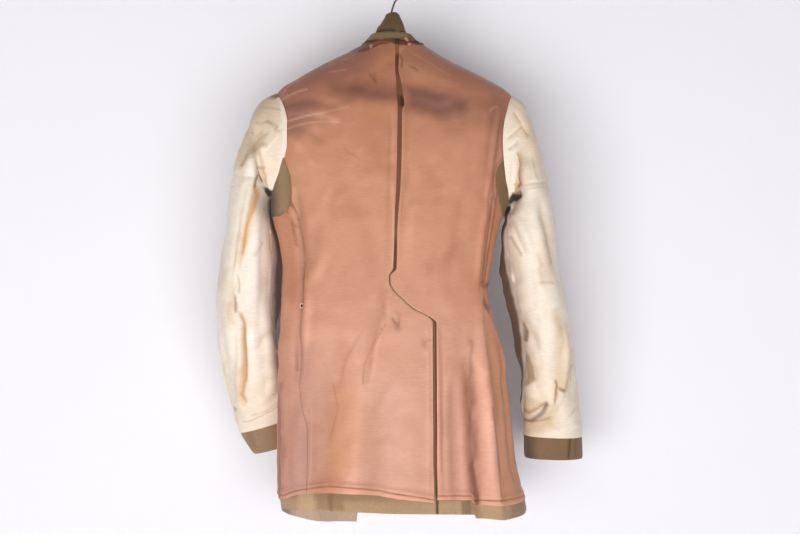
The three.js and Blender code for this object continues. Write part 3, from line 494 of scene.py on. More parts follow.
# Lines on the body lining: scratches, worn edges, pressed and seam lines, and painted light and shade of
# folds, dark lines painted in creases and round the shields' edges and light lines painted on fold ridges and
# on the lining's folded edges at the split and the vent.
LINING_MARKS = [
    # Painted light on the ridges of folds over the shoulders.
    (1.1, 0.55, (218, 172, 140), [(-194, 97), (-180, 90), (-164, 84), (-152, 82)]),
    (0.9, 0.4, (216, 170, 144), [(-196, 92), (-186, 78), (-172, 64), (-160, 52)]),
    (1.2, 0.5, (220, 176, 146), [(-186, 134), (-160, 128), (-120, 121), (-84, 113)]),
    (1.1, 0.5, (218, 174, 142), [(-184, 146), (-160, 139), (-126, 136), (-100, 137)]),
    (0.8, 0.31, (220, 176, 144), [(-120, 30), (-90, 20), (-66, 14)]),
    (0.8, 0.31, (222, 180, 150), [(-116, 54), (-100, 52), (-88, 50)]),
    (0.8, 0.31, (222, 180, 150), [(-96, 32), (-84, 30), (-74, 30)]),
    (0.8, 0.31, (214, 168, 138), [(20, 22), (44, 36), (80, 60)]),
    (1.0, 0.37, (218, 172, 146), [(146, 118), (152, 112), (158, 110)]),
    # Painted shade in creases of the right side.
    (1.2, 0.56, (120, 74, 54), [(150, 256), (144, 310), (138, 360), (134, 398)]),
    (1.2, 0.56, (120, 74, 54), [(158, 250), (150, 312), (142, 362), (137, 398)]),
    (1.6, 0.6, (110, 66, 48), [(137, 398), (142, 402), (146, 400)]),
    (1.4, 0.52, (112, 68, 50), [(137, 424), (141, 440), (145, 446)]),
    # Painted shade in creases of the skirt and its small V-shaped pucker.
    (1.0, 0.45, (150, 96, 74), [(-26, 428), (-25, 466), (-45, 502), (-58, 530), (-60, 560)]),
    (1.4, 0.52, (130, 82, 62), [(-12, 456), (-6, 464), (-3, 468), (-1, 458), (-2, 446)]),
    (1.6, 0.45, (150, 98, 76), [(-157, 380), (-160, 440), (-166, 490), (-168, 540)]),
    (1.3, 0.52, (140, 88, 68), [(-186, 256), (-172, 280), (-164, 296), (-170, 310)]),
    (1.2, 0.45, (150, 96, 74), [(-178, 292), (-166, 330), (-162, 372)]),
    (1.0, 0.45, (156, 104, 84), [(40, 494), (48, 490), (54, 490)]),
    (1.0, 0.38, (164, 110, 86), [(-108, 560), (-100, 600), (-112, 650)]),
    (1.0, 0.31, (236, 190, 166), [(-143, 600), (-144, 700), (-150, 742)]),
    (1.1, 0.6, (146, 92, 72), [(150, 600), (155, 646), (160, 700), (164, 752)]),
    (1.0, 0.38, (170, 118, 98), [(62, 470), (64, 600), (66, 700)]),
    (1.4, 0.6, (118, 76, 48), [(-48, 60), (-44, 66), (-40, 72), (-42, 62)]),
    (1.2, 0.6, (150, 98, 52), [(-52, 54), (-46, 62), (-38, 56)]),
    (1.2, 0.52, (96, 60, 40), [(-4, 22), (0, 26), (4, 34), (2, 46)]),
    (1.2, 0.52, (104, 66, 44), [(16, 46), (22, 48), (28, 52)]),
    (1.0, 0.3, (140, 92, 70), [(-90, 180), (-80, 190), (-66, 196)]),
    (1.0, 0.5, (140, 86, 62), [(-175, 267.5), (-163, 303), (-157, 328), (-155.6, 363), (-157, 409),
                               (-159.6, 442)]),
    (1.0, 0.6, (150, 92, 64), [(-178, 293), (-173, 304), (-171, 322), (-168, 338)]),
    # Painted shade round the edges of the underarm shields.
    (0.9, 0.7, (112, 76, 52), [(-188, 198), (-180, 222), (-176.5, 246), (-177.5, 271), (-186, 289)]),
    (0.8, 0.6, (120, 80, 56), [(170, 191), (157.5, 205), (151.5, 222), (151, 246), (155, 268)]),
    # Painted light along the lining's folded edges at the split and the vent.
    (1.0, 0.5, (224, 176, 150), [(-10, 120), (-12, 240), (-10, 330), (-13, 372)]),
    (0.9, 0.5, (232, 188, 164), [(51, 470), (51.5, 600), (52, 750)]),
    (1.0, 0.5, (170, 124, 84), [(-46, 52), (-44, 60), (-48, 70)]),
]
# Lines on the sleeves: the seam above the left cuff, and painted light and shade of folds and creases, dark
# in their hollows, golden in the deep folds and light on their ridges.
SLEEVE_MARKS = {
    "left": [
        (1.6, 0.8, (166, 118, 70), [(-271, 420), (-270.5, 432), (-270, 443)]),
        (2.4, 0.85, (204, 156, 100), [(-263, 449), (-258, 462), (-258.5, 489), (-257, 516), (-257, 541),
                                      (-260, 562)]),
        (1.0, 0.7, (196, 146, 98), [(-261.5, 566), (-265, 584), (-259, 598)]),
        (1.0, 0.5, (196, 156, 122), [(-266, 634), (-250, 630), (-234, 623), (-218, 615), (-206, 606)]),
        (1.0, 0.5, (206, 172, 136), [(-222, 590), (-212, 584), (-206, 572)]),
        (1.0, 0.5, (206, 172, 136), [(-250, 622), (-228, 616), (-206, 600)]),
        (1.8, 0.6, (255, 245, 226), [(-231, 226), (-227, 243), (-232, 265), (-239.5, 288)]),
        (2.4, 0.8, (218, 162, 98), [(-239.4, 243), (-236.8, 254), (-241, 280), (-249, 303), (-254, 332),
                                    (-257, 349)]),
        (1.6, 0.85, (126, 88, 46), [(-234.6, 223), (-237, 231), (-239.5, 240)]),
        (1.3, 0.9, (112, 74, 40), [(-231, 218), (-229, 225), (-227, 232)]),
        (1.0, 0.8, (172, 120, 66), [(-235.6, 211), (-228, 208.5), (-220.4, 209.5)]),
        (2.0, 0.6, (166, 142, 112), [(-224, 172), (-236, 180), (-247, 192), (-259, 206)]),
        (1.2, 0.7, (252, 238, 216), [(-200, 160), (-214, 176.5), (-227, 191), (-243, 204.5), (-256, 211)]),
        (0.9, 0.5, (196, 164, 128), [(-227, 276), (-222, 280), (-218.6, 280.6)]),
        (0.9, 0.5, (206, 186, 160), [(-275.5, 240.5), (-268, 241), (-260, 240.5)]),
        (1.5, 0.6, (192, 168, 138), [(-227, 111), (-209, 112.7), (-197.6, 114.7)]),
        (2.1, 0.6, (146, 122, 94), [(-216.6, 134.6), (-209, 138.4), (-201.5, 143.2)]),
        (2.0, 0.5, (172, 144, 110), [(-203.2, 147.8), (-199, 150), (-195, 150.7)]),
        (2.0, 0.45, (160, 136, 106), [(-231.8, 172.6), (-225, 171.5), (-218.6, 172.6)]),
        (1.4, 0.6, (160, 140, 114), [(-242, 150.6), (-240, 152.2)]),
        (1.2, 0.6, (176, 160, 136), [(-220, 136), (-228, 140), (-234, 136)]),
        (1.2, 0.5, (170, 154, 128), [(-214, 152), (-226, 162), (-236, 172), (-252, 196)]),
        (1.0, 0.7, (214, 176, 134), [(-232, 208), (-224, 212), (-219, 224), (-222, 232)]),
        (1.0, 0.4, (206, 188, 164), [(-281, 218), (-268, 222), (-258, 220)]),
        (1.0, 0.5, (196, 172, 138), [(-240, 352), (-232, 340), (-226, 332)]),
        (1.2, 0.6, (184, 150, 108), [(-266, 384), (-262, 400), (-264, 412)]),
        (1.8, 0.8, (160, 118, 74), [(-281, 612), (-280, 616)]),
    ],
    "right": [
        (1.6, 0.8, (112, 80, 46), [(201, 458), (204, 476), (211, 494)]),
        (2.4, 0.75, (172, 128, 84), [(206, 612), (220, 615), (233, 605), (245, 598)]),
        (2.4, 0.8, (104, 74, 44), [(203, 622), (212.6, 628.5), (222, 627.6), (233.4, 619.5),
                                   (240.4, 611.4), (246, 600)]),
        (1.8, 0.6, (150, 110, 70), [(224, 628), (236, 626), (249, 624)]),
        (3.0, 0.9, (230, 186, 130), [(276, 487), (278, 516), (276.5, 543), (272, 571)]),
        (1.3, 0.9, (152, 102, 58), [(258, 559), (260, 568), (259, 584), (257, 595)]),
        (1.8, 0.8, (110, 76, 48), [(265, 572), (268, 575)]),
        (1.0, 0.5, (200, 160, 120), [(292, 611), (285, 618), (280, 622)]),
        (1.0, 0.6, (196, 152, 104), [(290, 536), (284, 544), (286, 560)]),
        (1.8, 0.8, (140, 96, 44), [(193, 186), (197, 204), (194, 220), (197, 240)]),
        (1.6, 0.6, (214, 172, 116), [(197, 186), (201, 202), (199, 218), (201, 240)]),
        (1.4, 0.6, (196, 158, 108), [(188, 234), (196, 238), (190, 246)]),
        (1.3, 0.6, (186, 158, 120), [(178, 161), (188, 152), (198, 143)]),
        (1.3, 0.6, (186, 158, 120), [(178, 180), (186, 173), (193, 167)]),
        (1.3, 0.5, (196, 170, 132), [(187, 119), (192, 127), (197, 134)]),
        (1.3, 0.5, (196, 170, 132), [(198, 143), (204, 150), (210, 158)]),
        (1.4, 0.6, (255, 246, 232), [(185, 100), (196, 108), (207, 121)]),
        (1.3, 0.5, (206, 180, 146), [(214, 196), (217, 214), (222, 228)]),
        (0.9, 0.5, (204, 178, 146), [(206, 246), (226, 242), (246, 244)]),
        (1.4, 0.5, (202, 172, 136), [(238, 330), (244, 352), (248, 366)]),
        (1.0, 0.5, (204, 176, 144), [(226, 396), (246, 398), (256, 396)]),
        (1.4, 0.6, (170, 140, 100), [(182, 322), (190, 338), (198, 352)]),
        (1.2, 0.5, (206, 172, 132), [(262, 470), (266, 492), (264, 512)]),
        (3.0, 0.5, (222, 190, 158), [(224, 353), (229, 365), (226, 379), (231, 397)]),
        (2.0, 0.7, (156, 122, 82), [(175.4, 348.5), (182.4, 365), (183.5, 379)]),
    ],
}
# Patches of the sleeves. Many are painted light and shade: painted shade over the left sleeve's upper part,
# dark painted shadows in both armpits, painted shade along the inner edges and in the folds, golden in the
# deep ones, and painted light on the left sleeve's inner side; the others lighten, darken or tint parts of
# the cloth.
SLEEVE_PATCHES = {
    "left": [
        (1.4, 0.9, (112, 88, 56), [(-226, 99), (-216, 88), (-202, 80), (-200, 92), (-206, 97), (-216, 99)]),
        # Painted shade over the left sleeve's upper part, with a sharp edge where its lit part begins.
        (9, 0.9, (228, 207, 182), [(-226, 90), (-206, 100), (-204, 132), (-226, 168), (-262, 208),
                                    (-270, 190), (-262, 140), (-246, 100)]),
        (2, 0.6, (226, 204, 178), [(-221, 93), (-199, 95), (-194, 134), (-201.5, 157), (-215, 174),
                                   (-228, 188.6),
                                    (-244.5, 202), (-258, 208.5), (-275, 216), (-268, 160), (-250, 120)]),
        (4, 0.5, (192, 170, 140), [(-226, 150), (-214, 160), (-240, 196), (-262, 208), (-250, 186)]),
        (6, 0.55, (234, 212, 188), [(-228, 184), (-212, 176), (-197, 142), (-190, 170), (-200, 215),
                                    (-222, 230)]),
        (10, 0.6, (222, 206, 182), [(-300, 330), (-276, 400), (-268, 440), (-280, 470), (-290, 420),
                                    (-304, 400)]),
        (3, 0.7, (238, 212, 182), [(-293, 429), (-271, 431), (-271, 464), (-278, 464), (-286, 440)]),
        # Painted shadow in the left armpit.
        (1.4, 0.95, (46, 30, 20), [(-229, 240), (-204, 243), (-204, 262), (-210, 267), (-210, 290),
                                   (-217, 290),
                                   (-219, 262)]),
        # Painted light on the inner side of the left sleeve, which turns away from the lamps.
        (14, 0.8, (255, 250, 242), [(-246, 310), (-222, 300), (-218, 470), (-226, 570), (-246, 570)]),
        # Painted shade along the left sleeve's inner edge.
        (5, 0.6, (200, 184, 156), [(-214, 520), (-204, 520), (-204, 564), (-216, 560)]),
        # Golden painted shade in the left sleeve's two deep folds.
        (7, 0.8, (226, 190, 140), [(-238, 240), (-233, 244), (-244, 320), (-262, 372), (-258, 330),
                                   (-248, 280)]),
        (6, 0.8, (226, 188, 140), [(-262, 470), (-256, 474), (-256, 540), (-262, 604), (-268, 590),
                                   (-264, 530)]),
        # Painted shade along the left sleeve's inner edge.
        (6, 0.4, (214, 196, 168), [(-206, 500), (-202, 540), (-212, 590), (-218, 560)]),
    ],
    "right": [
        # Painted shade along the right sleeve's inner edge, and a painted shadow in a narrow fold.
        (3.5, 0.8, (164, 138, 108), [(200, 520), (211.5, 512), (224, 543), (226, 560), (219.6, 568),
                                     (207, 577), (200, 559)]),
        (2, 0.85, (122, 98, 66), [(203, 462), (210, 468), (216, 496), (212, 496), (207, 480)]),
        # Painted shadow in the right armpit.
        (1.4, 0.95, (44, 28, 17), [(184, 247), (200, 246), (200, 258), (190, 269), (178, 275), (178, 262)]),
        (1.8, 0.6, (214, 176, 128), [(192, 228), (198, 240), (198, 251), (188, 249)]),
        (12, 0.6, (250, 222, 190), [(176, 84), (206, 92), (240, 150), (262, 230), (240, 246), (214, 200),
                                    (186, 150)]),
        (8, 0.4, (224, 200, 168), [(226, 96), (244, 116), (262, 170), (252, 170), (232, 120)]),
        (4, 0.5, (206, 178, 142), [(202, 580), (226, 590), (242, 600), (226, 612), (204, 610)]),
        # Painted shade near the top of the right sleeve's inner edge.
        (8, 0.6, (220, 202, 172), [(194, 170), (208, 190), (212, 236), (201, 250), (193, 226)]),
        (9, 0.6, (232, 208, 182), [(230, 290), (244, 340), (250, 400), (238, 400), (226, 340)]),
        # Golden painted shade in the right sleeve's deep fold.
        (9, 0.7, (216, 190, 150), [(252, 440), (268, 470), (272, 560), (256, 600), (254, 520)]),
        (10, 0.6, (220, 200, 172), [(180, 320), (196, 352), (206, 400), (196, 400)]),
        (12, 0.7, (206, 180, 142), [(200, 600), (232, 626), (256, 602), (262, 640), (214, 656)]),
        (9, 0.6, (222, 200, 172), [(190, 470), (204, 470), (214, 560), (204, 600)]),
    ],
}
# Patches of the wool: the hem made lighter, painted light and shade of the hem's folds, painted light on the
# left front's hem corner, the wool in the lining's split darkened partly as stains and partly as painted
# shade, and painted shadow at the vent.
WOOL_PATCHES = [
    (6, 0.9, (188, 156, 124), [(-240, 748), (220, 748), (220, 900), (-240, 900)]),
    # Painted light on the left front's hem corner, which lies in the back's shade.
    (3, 0.9, (194, 170, 150), [(-230, 774), (-40, 774), (-40, 900), (-230, 900)]),
    # Painted light and shade of the hem's folds: lighter on the flat at the left, darker in the hollows.
    (2.5, 0.6, (202, 170, 136), [(-163, 738), (-140, 738), (-140, 768), (-163, 768)]),
    (3, 0.6, (150, 120, 90), [(-134, 738), (-90, 738), (-90, 764), (-134, 764)]),
    (2, 0.6, (132, 102, 74), [(-118, 736), (-108, 736), (-108, 768), (-114, 768)]),
    (2, 0.7, (132, 106, 80), [(98, 736), (113, 736), (116, 790), (100, 790)]),
    (3, 0.6, (152, 124, 96), [(180, 746), (204, 746), (204, 800), (180, 800)]),
    # The wool seen in the lining's split, darkened partly as stains and partly as painted shade of the narrow
    # split.
    (9, 0.95, (122, 78, 54), [(-18, -20), (18, -20), (16, 200), (12, 330), (4, 400), (-8, 410), (-22, 330),
                              (-16, 200)]),
    (4, 0.8, (84, 54, 36), [(-8, 26), (8, 26), (8, 58), (-6, 58)]),
    (3, 0.7, (168, 114, 72), [(-12, 2), (4, 2), (2, 20), (-10, 22)]),
    (3, 0.95, (66, 42, 30), [(-80, -20), (60, -20), (60, 5), (-80, 6)]),
    (3, 0.9, (70, 42, 27), [(-2, 92), (9, 96), (9, 114), (-3, 112)]),
    (3, 0.6, (92, 60, 42), [(-12, 330), (0, 330), (-4, 400), (-22, 400)]),
    # Painted shadow at the vent: its wool edge darkened, and a dark painted shadow line in the gap.
    (3, 0.9, (126, 92, 64), [(44, 440), (60, 440), (60, 738), (44, 738)]),
    (1.2, 0.9, (62, 44, 28), [(57.4, 452), (61, 452), (61.5, 800), (57.6, 800)]),
    (10, 0.4, (176, 148, 118), [(-20, 740), (40, 740), (40, 800), (-20, 800)]),
]
CUFF_PATCHES = {
    "left": [(2, 0.5, (138, 112, 84), [(-264, 630), (-250, 630), (-240, 680), (-262, 690)])],
    "right": [
        (8, 1.0, (134, 108, 82), [(180, 600), (340, 600), (340, 800), (180, 800)]),
        (8, 0.6, (96, 78, 58), [(190, 640), (226, 640), (226, 720), (190, 720)]),
    ],
}
CUFF_MARKS = {
    "left": [(1.0, 0.5, (190, 162, 130), [(-249, 648), (-246, 662), (-243, 676)])],
    "right": [
        (1.6, 0.8, (70, 54, 38), [(286, 652), (285, 670), (284, 692)]),
        (1.2, 0.5, (84, 66, 48), [(297, 652), (296, 690)]),
        (1.4, 0.8, (60, 44, 30), [(286, 653), (291, 656)]),
    ],
}
SHIELD_PATCHES = [
    # Painted shadow in the left armpit, where the sleeve's underside leaves the shield.
    (5, 0.8, (60, 42, 26), [(-230, 232), (-208, 240), (-204, 262), (-206, 300), (-230, 300)]),
    (6, 0.8, (164, 138, 108), [(-202, 190), (-182, 200), (-176, 250), (-182, 284), (-196, 284), (-198, 230)]),
    (5, 0.7, (120, 94, 64), [(168, 190), (182, 196), (180, 240), (170, 250)]),
]
STAND_PATCHES = [
    (5, 0.9, (146, 120, 88), [(-50, -18), (24, -17), (30, -6), (-60, -4)]),
    (3, 0.8, (112, 90, 62), [(6, -20), (40, -16), (40, 4), (20, -4)]),
    (1.6, 0.95, (66, 42, 29), [(-70, -3), (-30, -4.5), (40, -5.5), (44, 40), (-74, 40)]),
    (1.2, 0.8, (128, 78, 58), [(-46, -2.5), (-12, -3.5), (-12, -1), (-44, 0.5)]),
    (1.0, 0.8, (150, 100, 80), [(2, -4.5), (24, -4.8), (24, -2), (2, -1.6)]),
    (1.0, 0.9, (228, 180, 156), [(9, -5), (14, -5.5), (14, -1), (10, -1)]),
]
LEAF_PATCHES = [
    (2, 0.8, (70, 52, 34), [(-46, -20), (-12, -24), (-8, -21), (-20, -14), (-46, -12)]),
    (5, 0.5, (122, 98, 66), [(-6, -30), (12, -30), (14, -16), (-8, -18)]),
]


# ---- shape of the coat -----------------------------------------------------
def track(columns, by, column, at):
    """Smooth value of a column at places between the rows of a table."""
    x = columns[by].astype(float)
    y = columns[column].astype(float)
    at = np.clip(np.asarray(at, float), x[0], x[-1])
    if len(x) == 2:
        return y[0] + (y[1] - y[0]) * (at - x[0]) / (x[1] - x[0])
    rate = np.diff(y) / np.diff(x)
    before, after = rate[:-1], rate[1:]
    both = before * after > 0
    slope = np.zeros(len(x))
    slope[1:-1] = np.where(both, 2 * before * after / np.where(both, before + after, 1), 0)
    i = np.clip(np.searchsorted(x, at, side="right") - 1, 0, len(x) - 2)
    h = x[i + 1] - x[i]
    t = (at - x[i]) / h
    start = y[i] * (1 + 2 * t) + h * slope[i] * t
    end = y[i + 1] * (3 - 2 * t) - h * slope[i + 1] * (1 - t)
    return start * (1 - t) ** 2 + end * t**2


def clamp01(t):
    return np.clip(t, 0, 1)


def smooth(t):
    """0 below 0, 1 above 1 and an easy curve between."""
    t = clamp01(t)
    return t * t * (3 - 2 * t)


def level_z(down):
    """Height of a level, from the hanger's rail."""
    return -(HOOK_TO_NECK + down)


def flat_place(points):
    """The x and down of points in space."""
    return points[..., 0], -points[..., 2] - HOOK_TO_NECK


def section_at(down):
    """The body's outline at each level: its middle, half width, depths and power."""
    s = {name: track(BODY, "down", name, down) for name in ("left", "right", "back", "front", "power")}
    return {**s, "mid": (s["left"] + s["right"]) / 2, "half": (s["right"] - s["left"]) / 2}


def ring_turn(ring):
    """Angle from the nearer centre line, back or front, of places on the ring."""
    size = np.abs(ring)
    return np.where(size <= 1, size, 2 - size) * math.pi / 2


def ring_point(section, place):
    """x and y on an outline: ring 0 is the centre back, 1 the right side, -1 the
    left side, and 2 and -2 the centre front."""
    ring = np.where(np.abs(place) > 2, place - 4 * np.sign(place), place)
    turn = ring_turn(ring)
    power = 2 / section["power"]
    x = section["mid"] + np.sign(ring) * section["half"] * np.abs(np.sin(turn)) ** power
    deep = np.abs(np.cos(turn)) ** power
    return x, np.where(np.abs(ring) <= 1, -section["back"] * deep, section["front"] * deep)


def ring_at(x, down, on_front=False):
    """Ring place of an x on the back or the front of the body."""
    s = section_at(down)
    share = clamp01(np.abs(x - s["mid"]) / s["half"])
    place = np.arcsin(share ** (s["power"] / 2)) * 2 / math.pi
    return np.sign(x - s["mid"]) * ((2 - place) if on_front else place)


def fold_depth(ring, down, section):
    """How far the long hanging folds lift the cloth (+) or sink it (-)."""
    total = np.zeros(np.broadcast(ring, down).shape)
    for _name, top, bottom, first, last, wide, deep in FOLDS:
        grow = smooth((down - first) / FADE_LENGTH) * smooth((last - down) / FADE_LENGTH)
        centre = top + (bottom - top) * smooth((down - first) / (last - first))
        away = (ring - centre) * section["half"] * 1.2 / wide
        total = total + deep * grow * np.exp(-away * away)
    return total


def front_fall(ring):
    """How far the neck edge falls from the back of the neck to the fronts."""
    return FRONT_NECK_FALL * smooth((np.abs(ring) - 1) / 0.8)


def warped(row, ring):
    """A level on the plain rows, moved to follow the hem and the neck edge."""
    hem = track(HEM_LINE, "ring", "down", ring) - HEM_DOWN
    hem = hem + PLEAT_DROP * smooth((ring - PLEAT_RING) / PLEAT_EDGE) * smooth((1.1 - ring) / 0.7)
    low = clamp01((row - HEM_WARP_FROM) / (HEM_DOWN - HEM_WARP_FROM))
    return row + hem * low + front_fall(ring) * clamp01(1 - row / TIP_DOWN)


def nearest_on(x, down, start, end):
    """Nearest place to each point on a straight stretch: how far along it lies,
    and the way from there to the point."""
    (ax, ad), (bx, bd) = start, end
    length = math.hypot(bx - ax, bd - ad)
    ux, ud = (bx - ax) / length, (bd - ad) / length
    along = np.clip((x - ax) * ux + (down - ad) * ud, 0, length)
    return along, x - ax - along * ux, down - ad - along * ud


def crease_depth(x, down, creases):
    """Height of the listed creases at points of the x, down plane."""
    total = np.zeros(x.shape)
    for kind, wide, deep, points in creases:
        best = np.full(x.shape, FAR)
        along = np.zeros(x.shape)
        side = np.zeros(x.shape)
        passed = 0.0
        for start, end in zip(points, points[1:]):
            share, dx, dd = nearest_on(x, down, start, end)
            far = np.hypot(dx, dd)
            near = far < best
            best = np.where(near, far, best)
            along = np.where(near, passed + share, along)
            side = np.where(near, np.sign(dd * (end[0] - start[0]) - dx * (end[1] - start[1])), side)
            passed += math.dist(start, end)
        along = along / passed
        taper = np.sqrt(clamp01(4 * along * (1 - along) + 0.05))
        width = wide * (0.75 + 0.5 * taper)
        profile = np.exp(-((best / width) ** 2))
        if kind == "step":
            profile = profile * (1 + 0.9 * side * np.tanh(best / (0.4 * width)))
        total += CREASE_STRENGTH * deep * taper * profile
    return total


def ripples(x, z, seed, size, height):
    """Small uneven waves from a few crossing sines."""
    rng = np.random.default_rng(seed)
    total = np.zeros(x.shape)
    for _ in range(9):
        angle = rng.uniform(0, math.pi)
        length = size * rng.uniform(0.6, 1.8)
        phase = rng.uniform(0, 2 * math.pi, 2)
        bend = 0.35 * length * np.sin(2 * math.pi * (x + z) / (3.1 * size) + phase[1])
        total += np.sin(2 * math.pi * (x * math.cos(angle) + z * math.sin(angle) + bend) / length + phase[0])
    return total * height / 4


def waves(x, down, sets):
    """Sum of several sets of ripples."""
    return sum(ripples(x, down, *one) for one in sets)


def body_point(ring, row):
    """Points of the wool's outer face, in mm, over arrays of ring and row."""
    down = warped(row, ring)
    section = section_at(down)
    x, y = ring_point(section, ring)
    x0, y0 = ring_point(section, ring - 0.004)
    x1, y1 = ring_point(section, ring + 0.004)
    along = np.hypot(x1 - x0, y1 - y0)
    back = smooth((0.99 - np.abs(ring)) / 0.08)
    deep = fold_depth(ring, down, section)
    deep = deep + back * crease_depth(x, down, BODY_CREASES)
    deep = deep + (1 - back) * crease_depth(x, down, FRONT_CREASES)
    deep = deep + smooth((down - 20) / 60) * waves(x + BODY_FAR_SHIFT * (np.abs(ring) > 1), down, BODY_WAVES)
    return np.stack([x + (y1 - y0) / along * deep, y - (x1 - x0) / along * deep, level_z(down)], -1)


def back_place(x, row):
    """One point of the wool's outer face, at an x and a row of the back."""
    row = np.array([[row]])
    return body_point(ring_at(np.array([[x]]), row), row)[0, 0]


# ---- cloth pieces ----------------------------------------------------------
def grid_normals(points):
    """Outward normals of a grid of points whose columns run round the ring."""
    normal = np.cross(np.gradient(points, axis=0), np.gradient(points, axis=1))
    size = np.linalg.norm(normal, axis=-1, keepdims=True)
    return normal / np.maximum(size, 1e-9)


def arc(points, axis):
    """Length along the rows or the columns of a grid up to each point."""
    steps = np.linalg.norm(np.diff(points, axis=axis), axis=-1)
    pad = [(0, 0), (0, 0)]
    pad[axis] = (1, 0)
    return np.pad(np.cumsum(steps, axis=axis), pad)


def surface_area(points):
    """Area of a grid, each of its cells taken as two triangles."""
    a, b, c, d = points[:-1, :-1], points[:-1, 1:], points[1:, 1:], points[1:, :-1]
    triangles = np.cross(b - a, d - a), np.cross(b - c, d - c)
    return sum(np.linalg.norm(t, axis=-1).sum() for t in triangles) / 2


def edge_press(u, v, edges, roll):
    """1 at the pressed edges of a grid and 0 away from them. The edges are the
    first and last column and the first and last row."""
    near = np.full(u.shape, FAR)
    for pressed, away in zip(edges, (u, u[:, -1:] - u, v, v[-1:] - v)):
        if pressed:
            near = np.minimum(near, away)
    return 1 - smooth(near / roll)


def wall_faces(rows, cols, closed):
    """Faces of a thin wall: its outer side, its inner side and the rims."""
    count = rows * cols
    index = np.arange(count).reshape(rows, cols)
    if closed:
        index = np.concatenate([index, index[:, :1]], axis=1)
    corners = [index[:-1, :-1], index[1:, :-1], index[1:, 1:], index[:-1, 1:]]
    outer = np.stack(corners, -1).reshape(-1, 4)
    inner = np.stack(corners[::-1], -1).reshape(-1, 4) + count
    lines = [index[0, ::-1], index[-1]]
    if not closed:
        lines += [index[:, 0], index[::-1, -1]]
    rims = [np.stack([line[:-1], line[:-1] + count, line[1:] + count, line[1:]], -1) for line in lines]
    return np.concatenate([outer, inner, *rims])


def map_cloth(mesh, u, v, tone):
    """Lays the cloth's flat size in as its UV map and its tone as an attribute."""
    flat = np.stack([u.ravel(), v.ravel()], -1) / 1000
    flat = np.concatenate([flat, flat])
    loops = np.zeros(len(mesh.loops), dtype=np.int32)
    mesh.loops.foreach_get("vertex_index", loops)
    mesh.uv_layers.new(name="Cloth").data.foreach_set("uv", flat[loops].ravel())
    values = np.ones((*u.shape, 4))
    values[..., :3] = tone
    values = np.concatenate([values.reshape(-1, 4), values.reshape(-1, 4)])
    attribute = mesh.color_attributes.new("Tone", "FLOAT_COLOR", "POINT")
    attribute.data.foreach_set("color", values.ravel().astype(np.float32))


def cloth(title, points, low, high, material, flip=False, edges=(1, 1, 1, 1), closed=False, tone=1.0,
          roll=4.0, normal=None):
    """A cloth piece over a grid of points in mm, between two offsets along its
    normal, with its pressed edges rounded down. Gives the piece, the arcs across
    and down it, and its area, in metres."""
    name = title.replace(" ", "_")
    if closed:
        wrapped = np.concatenate([points[:, -1:], points, points[:, :1]], axis=1)
        normal = grid_normals(wrapped)[:, 1:-1]
    elif normal is None:
        normal = grid_normals(points)
    if flip:
        normal = -normal
    u, v = arc(points, 1), arc(points, 0)
    thin = edge_press(u, v, edges, roll) * (high - low)
    outer = points + normal * (high - thin * 0.55)[..., None]
    inner = points + normal * (low + thin * 0.1)[..., None]
    verts = np.concatenate([outer.reshape(-1, 3), inner.reshape(-1, 3)]) / 1000
    faces = wall_faces(*points.shape[:2], closed)
    if flip:
        faces = faces[:, ::-1]
    mesh = bpy.data.meshes.new(name)
    mesh.from_pydata(verts.tolist(), [], faces.tolist())
    map_cloth(mesh, u, v, tone)
    mesh.materials.append(material)
    mesh.validate()
    mesh.polygons.foreach_set("use_smooth", np.ones(len(mesh.polygons), dtype=bool))
    mesh.set_sharp_from_angle(angle=math.radians(50))
    mesh.update()
    piece = bpy.data.objects.new(name, mesh)
    bpy.context.collection.objects.link(piece)
    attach(piece, "root")
    return piece, (float(u.max()) / 1000, float(v.max()) / 1000), surface_area(points) / 1e6


def declare(made, node):
    """Hides the CAD node that a cloth piece replaces, and works out the piece's cut size and area."""
    piece, size, area = made
    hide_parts(node)
    width, length = (round(side + 2 * SEAM_ALLOWANCE, 3) for side in size)
    area = min(max(area, LEAST_SHARE * width * length), width * length)


# ---- colours ---------------------------------------------------------------
def linear_rgb(rgb):
    """sRGB 0-255 to linear."""
    c = np.array(rgb, float) / 255
    return np.where(c <= 0.04045, c / 12.92, ((c + 0.055) / 1.055) ** 2.4)


def linear_rgba(rgb, shade=1.0):
    """sRGB 0-255 to linear, darkened by a shade, with alpha."""
    return (*(linear_rgb(rgb) * shade), 1.0)


def within(x, down, outline, soft):
    """1 inside an outline and 0 outside, with a soft edge."""
    far = np.full(x.shape, FAR)
    inside = np.zeros(x.shape, bool)
    for start, end in zip(outline, outline[1:] + outline[:1]):
        _, dx, dd = nearest_on(x, down, start, end)
        far = np.minimum(far, np.hypot(dx, dd))
        (ax, ad), (bx, bd) = start, end
        if bd != ad:
            inside ^= ((ad > down) != (bd > down)) & (x < (bx - ax) * (down - ad) / (bd - ad) + ax)
    return smooth(0.5 + np.where(inside, far, -far) / (2 * soft))


def near_path(x, down, points, wide):
    """1 on a path of points and falling off beside it."""
    best = np.full(x.shape, FAR)
    for start, end in zip(points, points[1:]):
        _, dx, dd = nearest_on(x, down, start, end)
        best = np.minimum(best, np.hypot(dx, dd))
    return np.exp(-((best / wide) ** 2))


def coloured(x, down, base, patches, marks=(), blur=0.0):
    """Factor on the base colour that patches and marks give at each point."""
    base = linear_rgb(base)
    tone = np.ones((*x.shape, 3))
    for soft, strength, rgb, outline in patches:
        share = strength * within(x + blur, down + blur, outline, soft)
        tone += share[..., None] * (linear_rgb(rgb) / base - tone)
    for wide, strength, rgb, points in marks:
        share = strength * near_path(x, down, points, wide * 1.3)
        tone += share[..., None] * (linear_rgb(rgb) / base - tone)
    return tone


